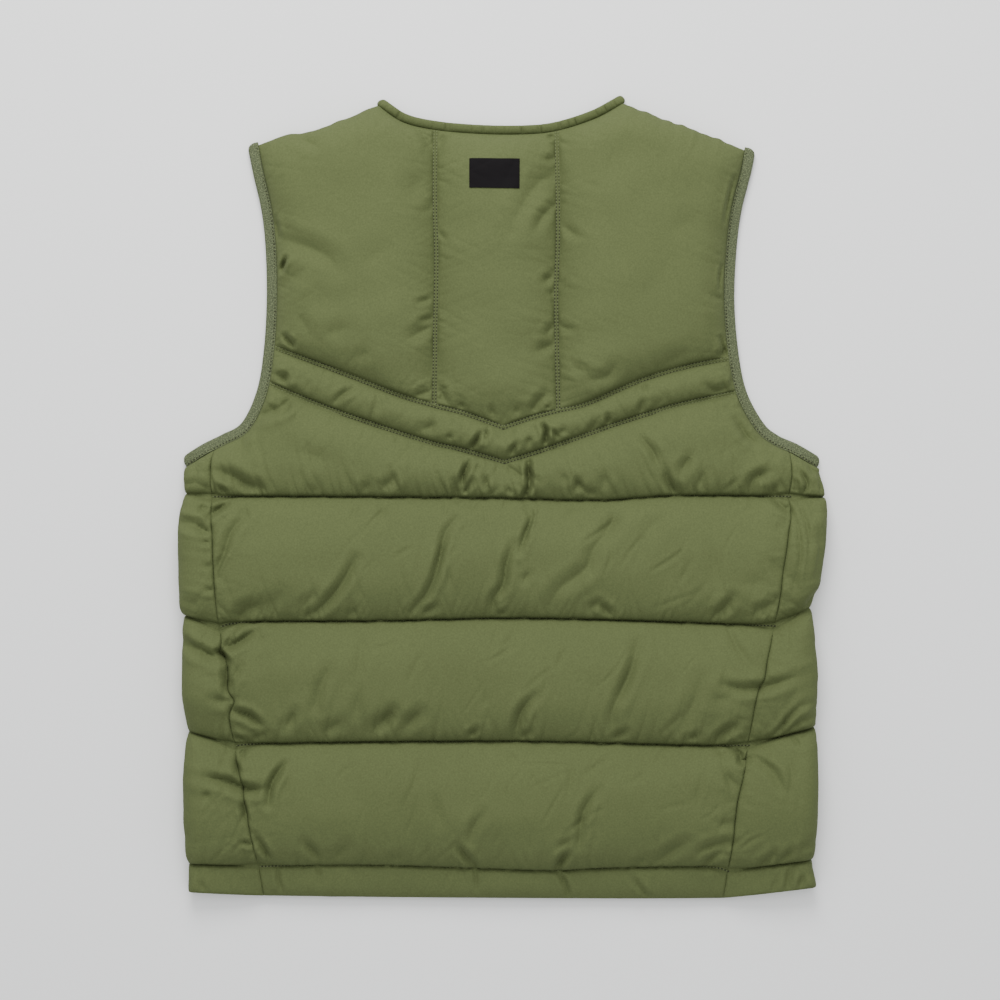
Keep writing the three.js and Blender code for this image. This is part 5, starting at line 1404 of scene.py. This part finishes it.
def sewing():
    """Twin rows beside the yoke and V seams, and single rows in the quilting lines and on the tapes."""
    pitch, apart = form().stitch_pitch / METRE, form().twin_spacing / METRE / 2
    rows = []
    for half in HALVES:
        for line in (half.yoke_seam, half.upper_v, half.lower_v):
            for aside in (-apart, apart):
                middles, along = stitch_places(line, aside, pitch)
                rows.append((middles, along, seam_heights(middles)))
    sewn("twin_needle", rows)
    rows = []
    for line in QUILTS[:HEM]:
        middles, along = stitch_places(line, 0, pitch)
        side_off = np.minimum(*(half.side_seam.nearest(middles)[0] for half in HALVES))
        pressed = np.exp(-((side_off / SIDE_PRESS) ** 2))
        rows.append((middles, along, seam_heights(middles) - QUILT_NOTCH * (1 - pressed)))
    sewn("quilting", rows)
    rows = []
    for half in HALVES:
        middles, along = stitch_places(half.tape, -half.sign * BINDING_WIDTH * TAPE_STITCHES, pitch)
        share = half.tape.nearest(middles)[1] / half.tape.length
        free = np.clip(np.minimum(share, 1 - share) / END_SHARE, 0, 1)
        height = mix(EDGE_REST, rest_height(middles), free) + GAP / 2 + BINDING_WALL * TAPE_TOP
        rows.append((middles, along, height))
    sewn("tape", rows)


# Materials

def linear(text):
    """A colour written as sRGB hex, as linear red, green and blue."""
    values = [int(text[i : i + 2], 16) / 255 for i in (0, 2, 4)]
    return tuple(v / 12.92 if v <= 0.04045 else ((v + 0.055) / 1.055) ** 2.4 for v in values)


def add_node(material, kind, values=None, links=None, **settings):
    """Adds a node: settings are its own, values set its sockets, and links bring in other nodes' sockets."""
    tree = material.node_tree
    made = tree.nodes.new(kind)
    for key, value in settings.items():
        setattr(made, key, value)
    for socket, value in (values or {}).items():
        made.inputs[socket].default_value = value
    for socket, source in (links or {}).items():
        tree.links.new(source, made.inputs[socket])
    return made


def dyed(name, colour):
    """A new material, and the socket of its plain colour."""
    material = bpy.data.materials.new(name)
    material.use_nodes = True
    material.node_tree.nodes.clear()
    plain = add_node(material, "ShaderNodeRGB").outputs[0]
    plain.default_value = (*colour, 1.0)
    return material, plain


def end(material, colour, normal, **values):
    """The shader and the output. Values are set on the shader's own sockets."""
    sockets = {key.replace("_", " ").title().replace("Ior", "IOR"): value for key, value in values.items()}
    links = {"Base Color": colour, "Normal": normal}
    shader = add_node(material, "ShaderNodeBsdfPrincipled", sockets, links)
    add_node(material, "ShaderNodeOutputMaterial", links={"Surface": shader.outputs[0]})
    return material


def own_place(material):
    return add_node(material, "ShaderNodeTexCoord").outputs["Object"]


def noise(material, place, scale, detail):
    """Noise from 0 to 1. The scale is in waves for each of the place's own units."""
    made = add_node(material, "ShaderNodeTexNoise", {"Scale": scale, "Detail": detail}, {"Vector": place})
    return made.outputs["Fac"]


def waves(material, place, axis, length):
    """1 and -1 in turn along one axis, a wave's length given in the place's own unit."""
    split = add_node(material, "ShaderNodeSeparateXYZ", links={0: place})
    turned = add_node(material, "ShaderNodeMath", {1: 2 * math.pi / length}, {0: split.outputs[axis]},
                      operation="MULTIPLY")
    return add_node(material, "ShaderNodeMath", links={0: turned.outputs[0]}, operation="SINE").outputs[0]


def crossed(material, first, second):
    """The product of two sockets, as of warp and weft."""
    return add_node(material, "ShaderNodeMath", links={0: first, 1: second}, operation="MULTIPLY").outputs[0]


def spanned(material, value, low, high):
    """A value taken from the span between low and high to 0 to 1."""
    made = add_node(material, "ShaderNodeMapRange", {"From Min": low, "From Max": high}, {"Value": value})
    return made.outputs[0]


def shade(material, colour, amount, low, high):
    """The colour made darker or lighter by an amount from 0 to 1, between two values."""
    span = add_node(material, "ShaderNodeMapRange", {"To Min": low, "To Max": high}, {"Value": amount})
    made = add_node(material, "ShaderNodeHueSaturation", links={"Value": span.outputs[0], "Color": colour})
    return made.outputs["Color"]


def bump(material, height, strength, distance, under=None):
    """A normal from a height of 0 to 1, the distance in metres. It adds to the normal under it."""
    links = {"Height": height} if under is None else {"Height": height, "Normal": under}
    made = add_node(material, "ShaderNodeBump", {"Strength": strength, "Distance": distance}, links)
    return made.outputs[0]


def taffeta(name, colour):
    """Peached polyester taffeta: matt, plain woven, with a soft nap that lights up at grazing angles."""
    material, plain = dyed(name, colour)
    place = own_place(material)
    # Dye takes a little unevenly over a hand's breadth
    tone = shade(material, plain, noise(material, place, 14.0, 3.0), 0.93, 1.07)
    # Slubs of the yarn, drawn at 1.4 mm so that they show
    slubs = noise(material, place, 720.0, 2.0)
    tone = shade(material, tone, slubs, 0.76, 1.24)
    # Threads 0.45 mm apart, warp and weft
    weave = crossed(material, waves(material, place, 0, 0.00045), waves(material, place, 1, 0.00045))
    fine = bump(material, crossed(material, weave, slubs), 0.25, 0.00006)
    nap = bump(material, noise(material, place, 330.0, 3.0), 0.5, 0.0004, fine)
    return end(material, tone, nap, roughness=0.85, specular_ior_level=0.1,
               sheen_weight=0.08, sheen_roughness=0.5, sheen_tint=(*colour, 1.0))


def grosgrain(name, colour):
    """Ribbed polyester tape, melange: ribs across it, painted lighter on their crests and darker in their
    hollows as painted light and shade, and pale flecks where threads catch the light.
    """
    material, plain = dyed(name, colour)
    place = add_node(material, "ShaderNodeAttribute", attribute_name="cloth_place").outputs["Vector"]
    # Ribs 1.1 mm apart along the tape, threads 0.8 mm apart across it, painted lighter on their crests and
    # darker between them as painted light and shade
    ribs = crossed(material, waves(material, place, 1, 1.1), waves(material, place, 0, 0.8))
    lifted = spanned(material, ribs, -1.0, 1.0)
    tone = shade(material, plain, lifted, 0.8, 1.2)
    flecks = spanned(material, noise(material, place, 0.95, 2.0), 0.42, 0.68)
    tone = shade(material, tone, flecks, 0.7, 1.9)
    relief = bump(material, lifted, 0.6, 0.0003)
    return end(material, tone, relief, roughness=0.85, specular_ior_level=0.2)


def satin_patch(name, colour):
    """Black woven satin: fine slanting floats with a low gloss."""
    material, plain = dyed(name, colour)
    turned = add_node(material, "ShaderNodeMapping", {"Rotation": (0, 0, math.radians(32))},
                      {"Vector": own_place(material)})
    # Floats 1.2 mm apart, drawn coarser than the real 0.3 mm so that they show, painted lighter on their
    # tops and darker between them as painted light and shade
    lifted = spanned(material, waves(material, turned.outputs[0], 0, 0.0012), -1.0, 1.0)
    tone = shade(material, plain, lifted, 0.8, 1.25)
    relief = bump(material, lifted, 0.3, 0.0001)
    return end(material, tone, relief, roughness=0.7, specular_ior_level=0.06)


def even(name, colour, grain, tones, strength, **values):
    """An even finish with a fine grain: the noise's scale and detail, and the darkest and lightest tone."""
    material, plain = dyed(name, colour)
    fine = noise(material, own_place(material), *grain)
    tone = shade(material, plain, fine, *tones)
    return end(material, tone, bump(material, fine, strength, 0.0001), **values)


MATERIALS = {}
STUD_COLOUR = "3a3d30"


def make_materials():
    """Makes the materials of the vest, once."""
    if MATERIALS:
        return
    colours = bpy.context.scene.vest_colours
    thread = {"roughness": 0.7, "specular_ior_level": 0.3}
    MATERIALS["shell"] = taffeta("peached_polyester_taffeta", colours.shell)
    MATERIALS["tape"] = grosgrain("melange_grosgrain_tape", colours.tape)
    MATERIALS["label"] = satin_patch("black_woven_satin", colours.patch)
    # The thread's own olive, set lighter than the shell's partly as painted highlight on the raised stitches
    MATERIALS["thread"] = even(
        "corespun_sewing_thread", colours.thread, (1600.0, 1.0), (0.85, 1.2), 0.3, **thread)
    # The needle holes' dark colour is painted shade, not a colour of the cloth or thread
    MATERIALS["hole"] = even(
        "shaded_needle_hole", colours.hole, (1600.0, 1.0), (0.8, 1.2), 0.3, **thread)
    # A smooth baked coat with slight wear
    MATERIALS["stud"] = even(
        "enamelled_brass_stud", linear(STUD_COLOUR), (260.0, 4.0), (0.85, 1.2), 0.1,
        roughness=0.35, metallic=0.6)


# Sizes and colours that a user would change

def length(name, description, default):
    return bpy.props.FloatProperty(name=name, description=description, default=default, min=0.0,
                                   unit="LENGTH", precision=4)


def factor(name, description, default, most, least=0.0):
    return bpy.props.FloatProperty(name=name, description=description, default=default, min=least,
                                   max=most, subtype="FACTOR")


class VestForm(bpy.types.PropertyGroup):
    """Sizes of the padding and the sewing."""

    yoke_loft: length("Yoke loft", "How far the padding stands up in the side yokes", 0.017)
    centre_loft: length("Centre loft", "How far the padding stands up in the centre yoke", 0.014)
    chevron_loft: length("Chevron loft", "How far the padding stands up in the chevron strip", 0.009)
    channel_fill: factor("Channel fill", "How full the quilted channels are", 1.0, 1.2, 0.2)
    fold_depth: factor("Fold depth", "How deep the placed folds are", 1.6, 3.0)
    fill: factor("Fill", "Fill declared for the padded pieces", 0.55, 1.0)
    pucker_depth: length("Pucker depth", "How deep the small folds along the seams are", 0.0009)
    stitch_pitch: length("Stitch pitch", "From one stitch to the next", 0.0029)
    twin_spacing: length("Twin rows", "From one row of a twin-needle seam to the other", 0.0024)


def colour(name, description, text):
    return bpy.props.FloatVectorProperty(name=name, description=description, default=linear(text),
                                         min=0.0, max=1.0, subtype="COLOR", size=3)


class VestColours(bpy.types.PropertyGroup):
    """Colours of the cloth, the sewing and the floor."""

    shell: colour("Shell", "Dye of the shell cloth", "535b39")
    tape: colour("Tape", "Dye of the armhole tape", "51583f")
    patch: colour("Patch", "Dye of the woven patch", "121011")
    # The thread's own olive, set lighter than the shell's partly as painted highlight on the raised stitches
    thread: colour("Thread", "Dye of the sewing thread", "5c6442")
    hole: colour("Needle holes", "Shade in the needle holes", "23260f")
    floor: colour("Floor", "Paper that the vest lies on", "f4f4f2")


# Operators

class Undone:
    """Lets an operator be undone, with all that it made."""

    bl_options = {"REGISTER", "UNDO"}


class VEST_OT_yokes(Undone, bpy.types.Operator):
    """Makes the three padded panels of the back yoke"""

    bl_idname = "vest.yokes"
    bl_label = "Back Yoke"

    def execute(self, context):
        make_materials()
        yoke_side(LEFT, "yoke_left_quilted", "back_yoke_left")
        yoke_side(RIGHT, "yoke_right_quilted", "back_yoke_right")
        yoke_centre()
        return {"FINISHED"}


class VEST_OT_chevron(Undone, bpy.types.Operator):
    """Makes the padded strip between the two V seams"""

    bl_idname = "vest.chevron"
    bl_label = "Chevron"

    def execute(self, context):
        make_materials()
        chevron()
        return {"FINISHED"}


class VEST_OT_body(Undone, bpy.types.Operator):
    """Makes the back body with its quilted channels and turned hem"""

    bl_idname = "vest.body"
    bl_label = "Back Body"

    def execute(self, context):
        make_materials()
        back_body()
        return {"FINISHED"}


class VEST_OT_fronts(Undone, bpy.types.Operator):
    """Makes the two front bodies, which wrap round the sides, and the two front yokes"""

    bl_idname = "vest.fronts"
    bl_label = "Fronts"

    def execute(self, context):
        make_materials()
        front_body(LEFT, "front_left_quilted", "front_body_left")
        front_body(RIGHT, "front_right_quilted", "front_body_right")
        front_yoke(LEFT, "front_yoke_left_padded", "front_yoke_left")
        front_yoke(RIGHT, "front_yoke_right_padded", "front_yoke_right")
        return {"FINISHED"}


class VEST_OT_opening(Undone, bpy.types.Operator):
    """Makes the strip over the front opening and finishes its press studs"""

    bl_idname = "vest.opening"
    bl_label = "Front Opening"

    def execute(self, context):
        make_materials()
        placket()
        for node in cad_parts:
            if node.startswith("press_stud"):
                stud = bpy.data.objects[node]
                stud.data.materials.clear()
                stud.data.materials.append(MATERIALS["stud"])
        return {"FINISHED"}


class VEST_OT_bindings(Undone, bpy.types.Operator):
    """Makes the neck band and the tape round each armhole"""

    bl_idname = "vest.bindings"
    bl_label = "Neck Band and Tape"

    def execute(self, context):
        make_materials()
        neck_band()
        armhole_tape(LEFT, "armhole_tape_left", "armhole_binding_left")
        armhole_tape(RIGHT, "armhole_tape_right", "armhole_binding_right")
        return {"FINISHED"}


class VEST_OT_patch(Undone, bpy.types.Operator):
    """Makes the bare woven patch under the neck"""

    bl_idname = "vest.patch"
    bl_label = "Woven Patch"

    def execute(self, context):
        make_materials()
        woven_patch()
        return {"FINISHED"}


class VEST_OT_sewing(Undone, bpy.types.Operator):
    """Makes the stitches of the seams, quilting lines and tapes"""

    bl_idname = "vest.sewing"
    bl_label = "Sewing"

    def execute(self, context):
        make_materials()
        sewing()
        return {"FINISHED"}


# The stage, in metres

VIEW_WIDTH = 0.86        # across the picture at the height of the cloth
LENS = 90.0              # this and the sensor in millimetres
SENSOR = 36.0
CLOTH_HEIGHT = 0.022
AIM = (-0.0026, -0.0017)
FLOOR_HALF = 4.0
WALL_COLOUR = (0.95, 0.97, 1.0, 1.0)
WALL_LIGHT = 0.84


class VEST_OT_stage(Undone, bpy.types.Operator):
    """Makes the camera straight above the vest, the lights and the paper that it lies on"""

    bl_idname = "vest.stage"
    bl_label = "Stage"

    def execute(self, context):
        scene = context.scene
        lens = bpy.data.cameras.new("camera_above")
        lens.lens, lens.sensor_width = LENS, SENSOR
        camera = bpy.data.objects.new("camera_above", lens)
        camera.location = (*AIM, CLOTH_HEIGHT + VIEW_WIDTH * LENS / SENSOR)
        scene.collection.objects.link(camera)
        scene.camera = camera
        add_light(scene, "softbox_above_neck", (-0.15, 1.4, 1.25), 1.0, 35.0)
        add_light(scene, "softbox_overhead", (0.0, 0.3, 2.7), 2.4, 28.0)
        world = bpy.data.worlds.new("studio_walls")
        world.use_nodes = True
        background = world.node_tree.nodes["Background"].inputs
        background[0].default_value = WALL_COLOUR
        background[1].default_value = WALL_LIGHT
        scene.world = world
        corners = [(FLOOR_HALF * x, FLOOR_HALF * y, 0.0) for x, y in ((-1, -1), (1, -1), (1, 1), (-1, 1))]
        sheet = bpy.data.meshes.new("paper_floor")
        sheet.from_pydata(corners, [], [(0, 1, 2, 3)])
        sheet.materials.append(even(
            "matt_paper", scene.vest_colours.floor, (300.0, 2.0), (0.99, 1.01), 0.05,
            roughness=0.95, specular_ior_level=0.1))
        floor = bpy.data.objects.new("paper_floor", sheet)
        scene.collection.objects.link(floor)
        return {"FINISHED"}


def add_light(scene, name, place, size, power):
    """A square softbox that faces the vest."""
    lamp = bpy.data.lights.new(name, "AREA")
    lamp.size, lamp.energy = size, power
    light = bpy.data.objects.new(name, lamp)
    light.location = place
    light.rotation_mode = "QUATERNION"
    light.rotation_quaternion = (-Vector(place)).to_track_quat("-Z", "Y")
    scene.collection.objects.link(light)


OPERATORS = (
    VEST_OT_stage, VEST_OT_yokes, VEST_OT_chevron, VEST_OT_body, VEST_OT_fronts,
    VEST_OT_opening, VEST_OT_bindings, VEST_OT_patch, VEST_OT_sewing,
)


class VEST_PT_sidebar(bpy.types.Panel):
    """Lists the vest's sizes, colours and pieces"""

    bl_idname = "VEST_PT_sidebar"
    bl_label = "Vest"
    bl_space_type = "VIEW_3D"
    bl_region_type = "UI"
    bl_category = "Vest"

    def draw(self, context):
        for group in (context.scene.vest_form, context.scene.vest_colours):
            for name in group.bl_rna.properties.keys():
                if name not in {"rna_type", "name"}:
                    self.layout.prop(group, name)
        for kind in OPERATORS:
            self.layout.operator(kind.bl_idname)


CLASSES = (VestForm, VestColours, *OPERATORS, VEST_PT_sidebar)


def register():
    for kind in CLASSES:
        bpy.utils.register_class(kind)
    bpy.types.Scene.vest_form = bpy.props.PointerProperty(type=VestForm)
    bpy.types.Scene.vest_colours = bpy.props.PointerProperty(type=VestColours)


def unregister():
    del bpy.types.Scene.vest_form
    del bpy.types.Scene.vest_colours
    for kind in reversed(CLASSES):
        bpy.utils.unregister_class(kind)


def main():
    register()
    for kind in OPERATORS:
        group, name = kind.bl_idname.split(".")
        getattr(getattr(bpy.ops, group), name)()


if __name__ == "__main__":
    main()
